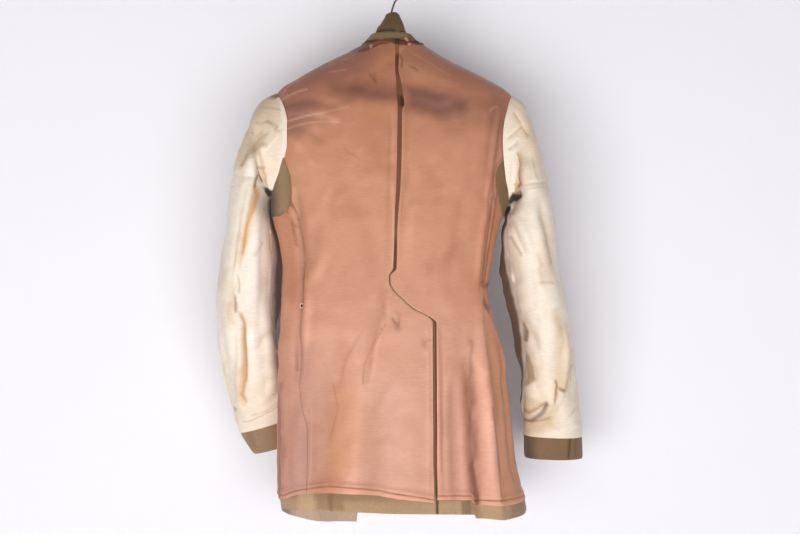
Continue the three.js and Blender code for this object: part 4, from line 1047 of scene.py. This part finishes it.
def shaded(tone, amount, rgb):
    """A tone moved towards rgb times itself, by an amount at each point."""
    return tone * (1 + amount[..., None] * (np.array(rgb) - 1))


def lining_tone(points, ring, row):
    """Wear and stains of the body lining, painted shade in the hollows of its creases and painted light on
    their ridges, and a painted shadow line along the fold above its hem strip, with painted light on the
    strip.
    """
    x, down = flat_place(points)
    back = np.abs(ring) < 1.02
    tone = coloured(x, down, LINING_COLOUR, LINING_PATCHES, LINING_MARKS, waves(x, down, LINING_BLUR))
    plain = coloured(x, down, LINING_COLOUR, [SHOULDER_WEAR, SKIRT_WEAR])
    tone = np.where(back[..., None], tone, plain * np.array([0.86, 0.84, 0.84]))
    # Painted shade in the hollows of the creases and painted light on their ridges.
    creases = np.where(back, crease_depth(x, down, BODY_CREASES), crease_depth(x, down, FRONT_CREASES))
    tone *= (1 + 0.05 * np.clip(creases, -4, 2))[..., None] ** CREASE_SHADE_TINT
    # A painted shadow line along the fold where the lining bags over its hem strip, and painted light on the
    # strip below it.
    line = np.exp(-(((row - HEM_LINE_ROW) / 1.1) ** 2)) * (0.68 + 0.3 * ripples(x, down, 41, 60, 1.0))
    tone = shaded(tone, clamp01(line), (0.38, 0.28, 0.22))
    return shaded(tone, smooth((row - HEM_LINE_ROW - 1) / 1.5), (1.1, 1.06, 1.03))


def wool_tone(points):
    """Wool of the back: darkened where the split lining lets it be seen, partly as stains and partly as
    painted shade, with painted light and shade at the hem and the vent.
    """
    return coloured(*flat_place(points), WOOL_COLOUR, WOOL_PATCHES)


# ---- materials -------------------------------------------------------------
def new_material(name, values):
    """A material, its node tree, and its shader with these values."""
    material = bpy.data.materials.new(name)
    material.use_nodes = True
    shader = material.node_tree.nodes["Principled BSDF"]
    for socket, value in values.items():
        shader.inputs[socket].default_value = value
    return material, material.node_tree, shader


def add_node(tree, kind, values=None, **settings):
    """A shader node with its settings and the values of its inputs."""
    node = tree.nodes.new(f"ShaderNode{kind}")
    for setting, value in settings.items():
        setattr(node, setting, value)
    for socket, value in (values or {}).items():
        node.inputs[socket].default_value = value
    return node


def cloth_material(name, colour, finish, dirt):
    """Woven cloth: its colour times the Tone attribute, flecked and unevenly
    worn, with a fine weave in the cloth's own UV map as bump."""
    material, tree, shader = new_material(name, {
        "Roughness": finish["rough"],
        "Sheen Weight": finish["sheen"],
        "Sheen Roughness": 0.4,
        "Specular IOR Level": 0.3,
    })
    links = tree.links
    place = add_node(tree, "TexCoord")
    # Uneven wear: the colour goes a third of the way to a duller one in places.
    uneven = add_node(tree, "TexNoise", {"Scale": dirt, "Detail": 5, "Roughness": 0.62})
    links.new(place.outputs["Object"], uneven.inputs["Vector"])
    spread = add_node(tree, "MapRange", {"From Min": 0.3, "From Max": 0.72, "To Min": 0.0, "To Max": 0.35})
    links.new(uneven.outputs["Fac"], spread.inputs["Value"])
    duller = linear_rgba(colour, WORN_TINT)
    base = add_node(tree, "Mix", {"A": linear_rgba(colour), "B": duller}, data_type="RGBA")
    links.new(spread.outputs["Result"], base.inputs["Factor"])
    toned = add_node(tree, "Mix", {"Factor": 1.0}, data_type="RGBA", blend_type="MULTIPLY")
    tone = add_node(tree, "VertexColor", layer_name="Tone")
    links.new(base.outputs["Result"], toned.inputs["A"])
    links.new(tone.outputs["Color"], toned.inputs["B"])
    # Flecks of the yarn, drawn out across the cloth on the linings.
    stretch = add_node(tree, "Mapping", {"Scale": finish["stretch"]})
    fine = add_node(tree, "TexNoise", {"Scale": finish["fleck"], "Detail": 3})
    links.new(place.outputs["Object"], stretch.inputs["Vector"])
    links.new(stretch.outputs["Vector"], fine.inputs["Vector"])
    dark, light = finish["flecks"]
    flecks = add_node(tree, "MapRange", {"From Min": 0.25, "From Max": 0.75, "To Min": dark, "To Max": light})
    links.new(fine.outputs["Fac"], flecks.inputs["Value"])
    grain = add_node(tree, "VectorMath", operation="SCALE")
    links.new(toned.outputs["Result"], grain.inputs[0])
    links.new(flecks.outputs["Result"], grain.inputs["Scale"])
    links.new(grain.outputs["Vector"], shader.inputs["Base Color"])
    # The weave.
    wave = add_node(tree, "TexWave", {"Scale": finish["weave"], "Distortion": 1.5, "Detail": 2})
    links.new(place.outputs["UV"], wave.inputs["Vector"])
    height = add_node(tree, "Math", operation="ADD")
    links.new(wave.outputs["Fac"], height.inputs[0])
    links.new(fine.outputs["Fac"], height.inputs[1])
    relief = add_node(tree, "Bump", {"Strength": finish["bump"], "Distance": 0.0006})
    links.new(height.outputs["Value"], relief.inputs["Height"])
    links.new(relief.outputs["Normal"], shader.inputs["Normal"])
    return material


def worn_hole(material, place, radius):
    """A small worn hole at one place in the cloth: a pale rim round a dark spot, painted as the shade inside
    the hole.
    """
    tree = material.node_tree
    target = tree.nodes["Principled BSDF"].inputs["Base Color"]
    where = add_node(tree, "TexCoord")
    away = add_node(tree, "VectorMath", {1: place}, operation="DISTANCE")
    tree.links.new(where.outputs["Object"], away.inputs[0])
    # The pale rim, then the painted shade inside the hole.
    for reach, colour in ((radius * 1.5, (236, 190, 164)), (radius, (34, 20, 15))):
        near = add_node(tree, "MapRange", {"From Min": reach * 0.9, "From Max": reach * 1.1, "To Min": 1.0,
                                           "To Max": 0.0})
        mixed = add_node(tree, "Mix", {"B": linear_rgba(colour)}, data_type="RGBA")
        tree.links.new(away.outputs["Value"], near.inputs["Value"])
        tree.links.new(near.outputs["Result"], mixed.inputs["Factor"])
        tree.links.new(target.links[0].from_socket, mixed.inputs["A"])
        tree.links.new(mixed.outputs["Result"], target)


wool = cloth_material("olive wool", WOOL_COLOUR, WOOL_FINISH, 9)
shield_wool = cloth_material("shield wool", SHIELD_COLOUR, WOOL_FINISH, 12)
collar_wool = cloth_material("collar wool", COLLAR_COLOUR, WOOL_FINISH, 14)
lining_cloth = cloth_material("rose brown lining", LINING_COLOUR, LINING_FINISH, 7)
sleeve_cloth = cloth_material("cream lining", SLEEVE_COLOUR, SLEEVE_FINISH, 8)

worn_hole(lining_cloth, tuple(back_place(HOLE["x"], HOLE["down"]) / 1000), HOLE["radius"] / 1000)


# ---- body panels -----------------------------------------------------------
def hem_form(row, ring):
    """Height of the lining's lower edge: it bags over the strip sewn to the hem."""
    bag = 2.0 * np.exp(-(((row - HEM_LINE_ROW + 4) / 4) ** 2)) * (row < HEM_LINE_ROW)
    strip = 0.9 * smooth((row - HEM_LINE_ROW - 0.5) / 2) * smooth((LINING_HEM - row) / 2)
    return bag * (0.8 + 0.3 * np.sin(ring * 23)) + strip


def hem_hang(which, ring, row):
    """Rows of the lining moved by how unevenly its hem strip is sewn."""
    drop = np.interp(ring, HEM_STRIP[which]["ring"], HEM_STRIP[which]["drop"])
    wide = np.interp(ring, HEM_STRIP[which]["ring"], HEM_STRIP[which]["wide"])
    above = row - HEM_LINE_ROW
    strip = clamp01(above / 60 + 1) * clamp01((LINING_HEM - row) / STRIP_WIDE)
    return row + drop * clamp01(above / 80 + 1) + (STRIP_WIDE - wide) * strip


def armhole_ring(hole, down, frontward):
    """Ring place of the armhole's edge at each level."""
    s = section_at(down)
    up = np.sqrt(clamp01(1 - ((down - hole["down"]) / hole["half"]) ** 2)) * hole["deep"]
    deep = s["front"] if frontward else s["back"]
    place = np.arccos(clamp01(up / deep) ** (s["power"] / 2)) * 2 / math.pi
    return hole["side"] * ((2 - place) if frontward else place)


def armhole_bottom(which, ring):
    """Row of the armhole's lower edge at ring places near the side."""
    hole = ARMHOLES[which]
    s = section_at(np.full(ring.shape, hole["down"] + hole["half"]))
    deep = np.cos(ring_turn(ring)) ** (2 / s["power"]) * np.where(np.abs(ring) <= 1, s["back"], s["front"])
    return hole["down"] + hole["half"] * np.sqrt(clamp01(1 - (deep / hole["deep"]) ** 2))


def outer_edge(which, frontward):
    """Where a back or front panel ends: its shoulder, armhole and side seam. Like
    the other edge lines, it gives the ring place for each row."""
    hole = ARMHOLES[which]
    seam = (SIDE_FRONT_SEAM if frontward else SIDE_BACK_SEAM)[which]

    def ring_of(row):
        arm = armhole_ring(hole, row, frontward)
        side = ring_at(track(seam, "down", "x", row), row, frontward)
        blend = smooth((row - SEAM_START + 4) / 10)
        return np.where(row <= TIP_DOWN, hole["side"] * 1.0, arm * (1 - blend) + side * blend)

    return ring_of


def seam_line(which, frontward):
    """The side panel's edges, which go straight up above the start of the seams."""
    return lambda row: outer_edge(which, frontward)(np.maximum(row, SIDE_TOP))


def edge_line(line, on_front=False):
    """The edge line of a table of down and x."""
    return lambda row: ring_at(track(line, "down", "x", row), row, on_front)


def fine(width, step):
    """Count of mesh steps in a width."""
    return max(6, int(width / step))


def body_grid(start, end, bottom, across, down_step, top=0.0):
    """Ring places and rows of a panel between two edge lines."""
    rows = np.linspace(top, bottom, max(4, int((bottom - top) / down_step)))
    if bottom == LINING_HEM and down_step < 5:
        upper = np.linspace(top, bottom - 16, int((bottom - 16 - top) / down_step))
        rows = np.concatenate([upper, bottom - np.array(HEM_ROWS)])
    left, right = start(rows), end(rows)
    ring = left[:, None] + (right - left)[:, None] * np.linspace(0, 1, across)[None]
    return ring, np.repeat(rows[:, None], across, axis=1)


def side_grid(which, bottom, step):
    """Ring places and rows of a side panel, whose top follows the armhole."""
    start, end = seam_line(which, False), seam_line(which, True)
    ring, row = body_grid(start, end, bottom, fine(110, step), step, top=SIDE_TOP)
    first = armhole_bottom(which, ring)
    row = first + (bottom - first) * (row - SIDE_TOP) / (bottom - SIDE_TOP)
    return start(row) + (end(row) - start(row)) * np.linspace(0, 1, ring.shape[1])[None], row


def trimmed(points, gap=SEAM_GAP / 2):
    """The grid drawn in by half a seam's gap at its first and last column."""
    points = points.copy()
    for edge, beside in ((0, 1), (-1, -2)):
        way = points[:, beside] - points[:, edge]
        size = np.linalg.norm(way, axis=-1, keepdims=True)
        points[:, edge] += way / np.maximum(size, 1e-6) * np.minimum(gap, size * 0.8)
    return points


def lining_panel(part, which, grid, flip, edges=(1, 1, 1, 1), roll=2.6, bags=True):
    """A panel of the body lining, whose lower edge may bag over the hem strip."""
    ring, row = grid
    points = trimmed(body_point(ring, hem_hang(which, ring, row)))
    high = LINING_HIGH + bags * hem_form(row, ring)
    made = cloth(f"lining {part} {which}", points, LAYER_GAP, high, lining_cloth, flip, edges, roll=roll,
                 tone=lining_tone(points, ring, row))
    declare(made, f"lining_{part}_{which}")


def back_panels(which, side, flip):
    """The wool back and its lining, with columns from the centre seam outwards."""
    out = outer_edge(which, False)
    points = body_point(*body_grid(edge_line(CENTRE_SEAM), out, HEM_DOWN, fine(240, STEP), STEP))
    points[:, :1, 0] -= CENTRE_GAP * side
    made = cloth(f"wool back {which}", points, -WOOL_THICK, 0, wool, flip, (0, 1, 1, 1),
                 tone=wool_tone(points))
    declare(made, f"back_{which}")
    grid = body_grid(edge_line(LINING_SPLIT[which]), out, LINING_HEM, fine(230, FINE), FINE)
    lining_panel("back", which, grid, flip, (1, 1, 0, 1))


def side_panels(which, flip):
    """The wool side body and its lining, under the arm."""
    points = trimmed(body_point(*side_grid(which, HEM_DOWN, COARSE)), -WOOL_OVERLAP)
    made = cloth(f"wool side {which}", points, -WOOL_THICK, 0, wool, flip, tone=wool_tone(points))
    declare(made, f"side_{which}")
    lining_panel("side", which, side_grid(which, LINING_HEM, STEP), flip)


def front_panels(which, flip):
    """The front, its lining and its facing, with columns from the side inwards."""
    out = outer_edge(which, True)
    front_edge, facing_line = edge_line(FRONT_EDGE[which], True), edge_line(FACING_LINE[which], True)
    grid = body_grid(out, front_edge, HEM_DOWN, fine(150, COARSE), COARSE)
    points = trimmed(body_point(*grid), -WOOL_OVERLAP)
    made = cloth(f"wool front {which}", points, -WOOL_THICK, 0, wool, flip, tone=wool_tone(points))
    declare(made, f"front_{which}")
    grid = body_grid(out, facing_line, LINING_HEM, fine(90, COARSE), COARSE)
    lining_panel("front", which, grid, flip, roll=4.0, bags=False)
    points = trimmed(body_point(*body_grid(facing_line, front_edge, LINING_HEM, fine(80, COARSE), COARSE)))
    made = cloth(f"front facing {which}", points, LAYER_GAP, LINING_HIGH, wool, flip, tone=wool_tone(points))
    declare(made, f"facing_{which}")


def vent_underlap():
    """The wool strip behind the open edges of the vent."""
    start = lambda row: ring_at(np.full(row.shape, VENT_STRIP["left"]), row)
    end = lambda row: ring_at(np.full(row.shape, VENT_STRIP["right"]), row)
    points = body_point(*body_grid(start, end, HEM_DOWN, 14, COARSE, top=VENT_STRIP["from"]))
    high = -WOOL_THICK - LAYER_GAP
    declare(cloth("vent underlap", points, high - VENT_STRIP["thick"], high, wool), "vent_underlap")


for which, side in SIDES:
    flip = side < 0  # columns run away from the middle, so the left side turns over
    back_panels(which, side, flip)
    side_panels(which, flip)
    front_panels(which, flip)
vent_underlap()


# ---- sleeves ---------------------------------------------------------------
def sleeve_point(which, degrees, at):
    """Points of a sleeve's plain surface. Degrees run round it, 0 at its outer
    edge and 90 nearest the room, and at runs over the rows of its table."""

    def value(column):
        return track(SLEEVES[which], "row", column, at)

    turn = np.radians(degrees)
    share = (1 + np.cos(turn)) / 2
    x = value("inX") + (value("outX") - value("inX")) * share
    down = value("inDown") + (value("outDown") - value("inDown")) * share
    # The near half is pressed flat as far as its inner edge.
    bulge = np.sin(turn)
    flat = smooth((down - 240) / 60) * smooth(-np.cos(turn) / 0.6)
    bulge = bulge + flat * (clamp01(bulge) ** 0.6 - clamp01(bulge))
    y = value("y") - value("deep") * bulge
    # The far half of the inner edge hangs towards the body.
    sag = SLEEVE_SAG[which]
    hang = sum(share * smooth((down - start) / length) for share, start, length in sag["shares"])
    hang = hang * smooth((sag["end"] - down) / sag["over"]) * np.exp(-(((degrees % 360 - 222) / 30) ** 2))
    return np.stack([x + sag["far"] * hang, y, level_z(down)], -1)


def body_inside(points, grow):
    """Below 1 inside the body's plain outline grown by some mm."""
    s = section_at(flat_place(points)[1])
    deep = np.where(points[..., 1] < 0, s["back"], s["front"]) + grow
    across = np.abs(points[..., 0] - s["mid"]) / (s["half"] + grow)
    return across ** s["power"] + (np.abs(points[..., 1]) / deep) ** s["power"]


def sleeve_start(which, degrees):
    """Row number at which each column of a sleeve leaves the body."""
    low, high = np.zeros(degrees.shape), np.full(degrees.shape, 3.0)
    for _ in range(30):
        middle = (low + high) / 2
        inside = body_inside(sleeve_point(which, degrees, middle), SLEEVE_LIFT) < 1
        low = np.where(inside, middle, low)
        high = np.where(inside, high, middle)
    return high


def faces_room(around):
    """1 on the half of a sleeve that faces the room and 0 on the far half."""
    return smooth(np.sin(np.radians(around)) * 3 + 0.15)


def sleeve_grid(which, degrees, first, last, step):
    """Points of a sleeve between two row numbers, the depth of its creases
    there, the degrees and the row numbers."""
    count = fine(540 * (last - float(np.min(first))) / 12, step)
    at = first + (last - first) * np.linspace(0, 1, count)[:, None] + np.zeros(degrees.shape)
    around = np.repeat(degrees[None], count, axis=0)
    points = sleeve_point(which, around, at)
    x, down = flat_place(points)
    near = faces_room(around)
    deep = near * crease_depth(x, down, SLEEVE_CREASES[which])
    deep += (1 - near) * 0.7 * crease_depth(x + 8, down + 14, SLEEVE_CREASES[which])
    deep += smooth(at / 2.0) * waves(x + SLEEVE_FAR_SHIFT * (1 - near), down, SLEEVE_WAVES[which])
    cover = smooth((at - SLEEVE_ENDS[which]["wool_from"] + 0.4) / 0.4)
    return points, np.maximum(deep, -8 + 6.6 * cover), around, at


def sleeve_tone(points, deep, which, around):
    """Wear, stains and painted light and shade of a sleeve lining: its patches and marks, golden painted
    shade in its deep creases, and the painted shade between it and the body."""
    x, down = flat_place(points)
    blur = waves(x, down, SLEEVE_BLUR)
    marked = coloured(x, down, SLEEVE_COLOUR, SLEEVE_PATCHES[which], SLEEVE_MARKS[which], blur)
    tone = 1 + faces_room(around)[..., None] * (marked - 1)
    # Golden painted shade in the deep creases.
    tone = shaded(tone, 0.7 * smooth((-deep - 0.8) / 4.5), (0.95, 0.86, 0.74))
    tone *= 1 + (0.03 * ripples(x, down, 17, 60, 0.5))[..., None] * np.array([0.8, 1.0, 1.3])
    # Painted shade on the far side of the inner edge, beside the body.
    hidden = smooth((around % 360 - 178) / 14) * smooth((310 - around % 360) / 40)
    hidden *= smooth((down - 235) / 30) * smooth((690 - down) / 60)
    tone = shaded(tone, 0.95 * hidden, SLEEVE_SHADE[which])
    return shaded(tone, smooth((down - 480) / 160), (0.99, 0.98, 0.95))


def cuff_tone(points, which):
    """Wear of a sleeve's wool end."""
    x, down = flat_place(points)
    blur = waves(x, down, CUFF_BLUR)
    return coloured(x, down, WOOL_COLOUR, CUFF_PATCHES[which], CUFF_MARKS[which], blur)


def moved(points, deep, flip):
    """A grid moved out along its normals."""
    normal = grid_normals(points)
    return points + (-normal if flip else normal) * deep[..., None]


def sleeve_lining(which, flip, part, first, last):
    """One of the two pieces of a sleeve's lining, between two seams in degrees."""
    end = SLEEVE_ENDS[which]["lining"]
    count = fine(last - first, SLEEVE_STEP)
    beyond = (last - first) / (count - 1)
    degrees = np.linspace(first - beyond, last + beyond, count + 2)
    start = sleeve_start(which, degrees)
    points, deep, around, at = sleeve_grid(which, degrees, start, end, SLEEVE_STEP)
    deep *= 1 - 0.8 * smooth((at - end + 0.3) / 0.3)
    tone = sleeve_tone(points, deep, which, around)[:, 1:-1]
    points = moved(points, deep, flip)
    low, high = SLEEVE_LAYER
    made = cloth(f"sleeve lining {part} {which}", points[:, 1:-1], low, high, sleeve_cloth, flip,
                 (0, 0, 0, 1), tone=tone, normal=grid_normals(points)[:, 1:-1])
    declare(made, f"sleeve_{part}_{which}")


def sleeve_ends(which, flip):
    """The facing band and the wool end of a sleeve, each sewn to a ring."""
    ends = SLEEVE_ENDS[which]
    degrees = np.linspace(0, 360, fine(360, STEP), endpoint=False)
    points, deep, around, _ = sleeve_grid(which, degrees, ends["band_from"], ends["band_to"], STEP)
    made = cloth(f"cuff band {which}", points, LAYER_GAP, LAYER_GAP + BAND_THICK, sleeve_cloth, flip,
                 (0, 0, 1, 1), closed=True, tone=sleeve_tone(points, 0 * deep, which, around))
    declare(made, f"cuff_band_{which}")
    points = sleeve_grid(which, degrees, ends["wool_from"], ends["wool_to"], STEP)[0]
    made = cloth(f"wool cuff {which}", points, -WOOL_THICK, 0, wool, flip, (0, 0, 1, 1), closed=True,
                 tone=cuff_tone(points, which))
    declare(made, f"cuff_{which}")


for which, side in SIDES:
    sleeve_lining(which, side > 0, "top", -SLEEVE_SEAM, SLEEVE_SEAM)
    sleeve_lining(which, side > 0, "under", SLEEVE_SEAM, 360 - SLEEVE_SEAM)
    sleeve_ends(which, side > 0)


# ---- underarm shields ------------------------------------------------------
def shield(which, side):
    """A half oval of wool from its inner edge out to the side of the body."""
    edge = SHIELD_EDGE[which]
    rows = np.linspace(edge["down"][0], edge["down"][-1], 34)
    place = ring_at(np.interp(rows, edge["down"], edge["x"]), rows)
    ring = place[:, None] + (side - place)[:, None] * np.linspace(0, 1, 30)[None]
    points = body_point(ring, np.repeat(rows[:, None], 30, axis=1))
    low = LINING_HIGH + LAYER_GAP
    made = cloth(f"underarm shield {which}", points, low, low + SHIELD_THICK, shield_wool, side < 0, roll=2.5,
                 tone=coloured(*flat_place(points), SHIELD_COLOUR, SHIELD_PATCHES))
    declare(made, f"shield_{which}")


for which, side in SIDES:
    shield(which, side)


# ---- collar ----------------------------------------------------------------
def collar_piece(title, node, levels, patches):
    """A turn of the collar through the levels of its table, from below up."""
    count = len(levels["row"])
    at = np.linspace(0, count - 1, 44)[:, None] + np.zeros((1, 140))
    ring = np.linspace(-COLLAR_END, COLLAR_END, 140)[None] + np.zeros((44, 1))
    value = {name: track(levels, "row", name, at) for name in ("left", "right", "deep", "back", "front")}
    section = {"mid": (value["left"] + value["right"]) / 2, "half": (value["right"] - value["left"]) / 2,
               "back": value["deep"], "front": value["deep"], "power": 2.0}
    x, y = ring_point(section, ring)
    down = value["back"] + (value["front"] - value["back"]) * front_fall(ring) / FRONT_NECK_FALL
    points = np.stack([x, y, level_z(down)], -1)
    points = moved(points, ripples(points[..., 0] * 2, points[..., 2] * 2, 4, 40, 0.5), True)
    x, down = flat_place(points)
    tone = coloured(x, down, COLLAR_COLOUR, patches, (), waves(x, down, COLLAR_BLUR))
    declare(cloth(title, points[::-1], -COLLAR_THICK, 0, collar_wool, tone=tone[::-1]), node)


collar_piece("collar stand", "collar_stand", STAND, STAND_PATCHES)
collar_piece("collar leaf", "collar_leaf", LEAF, LEAF_PATCHES)


# ---- hanger and buttons ----------------------------------------------------
def metal(name, colour, rough, node_names):
    """Metal with an uneven tarnish, put on CAD nodes."""
    material, tree, shader = new_material(name, {"Metallic": 1.0, "Roughness": rough})
    place = add_node(tree, "TexCoord")
    noise = add_node(tree, "TexNoise", {"Scale": 60})
    mix = add_node(tree, "Mix", {"A": linear_rgba(colour), "B": linear_rgba(colour, 0.7)}, data_type="RGBA")
    tree.links.new(place.outputs["Object"], noise.inputs["Vector"])
    tree.links.new(noise.outputs["Fac"], mix.inputs["Factor"])
    tree.links.new(mix.outputs["Result"], shader.inputs["Base Color"])
    for node_name in node_names:
        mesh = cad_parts[node_name].data
        mesh.materials.clear()
        mesh.materials.append(material)


metal("plated wire", (200, 202, 206), 0.25, ["hanger"])
metal("dark brass", (120, 96, 58), 0.4, [f"button_{number}" for number in (1, 2, 3, 4)])


# ---- floor, wall, light and camera -----------------------------------------
def plane(name, size, place, turn, colour, open_behind=False):
    """A flat stage plane. One that is open behind is seen from its front only."""
    bpy.ops.object.select_all(action="DESELECT")
    bpy.ops.mesh.primitive_plane_add(size=1, location=place, rotation=turn)
    made = bpy.context.object
    made.name = name
    made.scale = (*size, 1)
    material, tree, shader = new_material(name, {"Base Color": linear_rgba(colour), "Roughness": 0.9})
    if open_behind:
        side = add_node(tree, "NewGeometry")
        clear = add_node(tree, "BsdfTransparent")
        either = add_node(tree, "MixShader")
        tree.links.new(side.outputs["Backfacing"], either.inputs["Fac"])
        tree.links.new(shader.outputs["BSDF"], either.inputs[1])
        tree.links.new(clear.outputs["BSDF"], either.inputs[2])
        tree.links.new(either.outputs["Shader"], tree.nodes["Material Output"].inputs["Surface"])
    made.data.materials.append(material)


def lamp(name, place, size, power, colour=(1, 1, 1)):
    """A square soft light that points at the middle of the coat."""
    light = bpy.data.lights.new(name, "AREA")
    light.energy = power
    light.shape = "RECTANGLE"
    light.size, light.size_y = size, size
    light.color = colour
    made = bpy.data.objects.new(name, light)
    bpy.context.collection.objects.link(made)
    made.location = place
    way = np.array(COAT_MIDDLE) - np.array(place)
    flat = math.hypot(way[0], way[1])
    made.rotation_euler = (math.atan2(flat, -way[2]), 0, math.atan2(way[1], way[0]) - math.pi / 2)


eye = bpy.data.cameras.new("Camera")
eye.lens, eye.sensor_width = 59.4, 36
camera = bpy.data.objects.new("Camera", eye)
bpy.context.collection.objects.link(camera)
camera.location = (0, -2.2, -0.4767)
camera.rotation_euler = (math.radians(90), 0, 0)
bpy.context.scene.camera = camera

plane("floor", (14, 14), (0, 0, -2.2), (0, 0, 0), (225, 224, 230))
plane("wall", (14, 8), (0, 0.2, 1.0), (math.radians(90), 0, 0), (248, 247, 252), open_behind=True)
lamp("key light", (-1.35, -3.9, -1.6), 2.8, 146, (1.0, 0.985, 0.96))
lamp("fill light", (1.2, -4.0, -1.5), 2.6, 92)
world = bpy.data.worlds.new("World")
bpy.context.scene.world = world
world.use_nodes = True
background = world.node_tree.nodes["Background"]
background.inputs["Color"].default_value = (0.9, 0.91, 0.95, 1)
background.inputs["Strength"].default_value = 0.12
bpy.context.scene.view_settings.view_transform = "Standard"
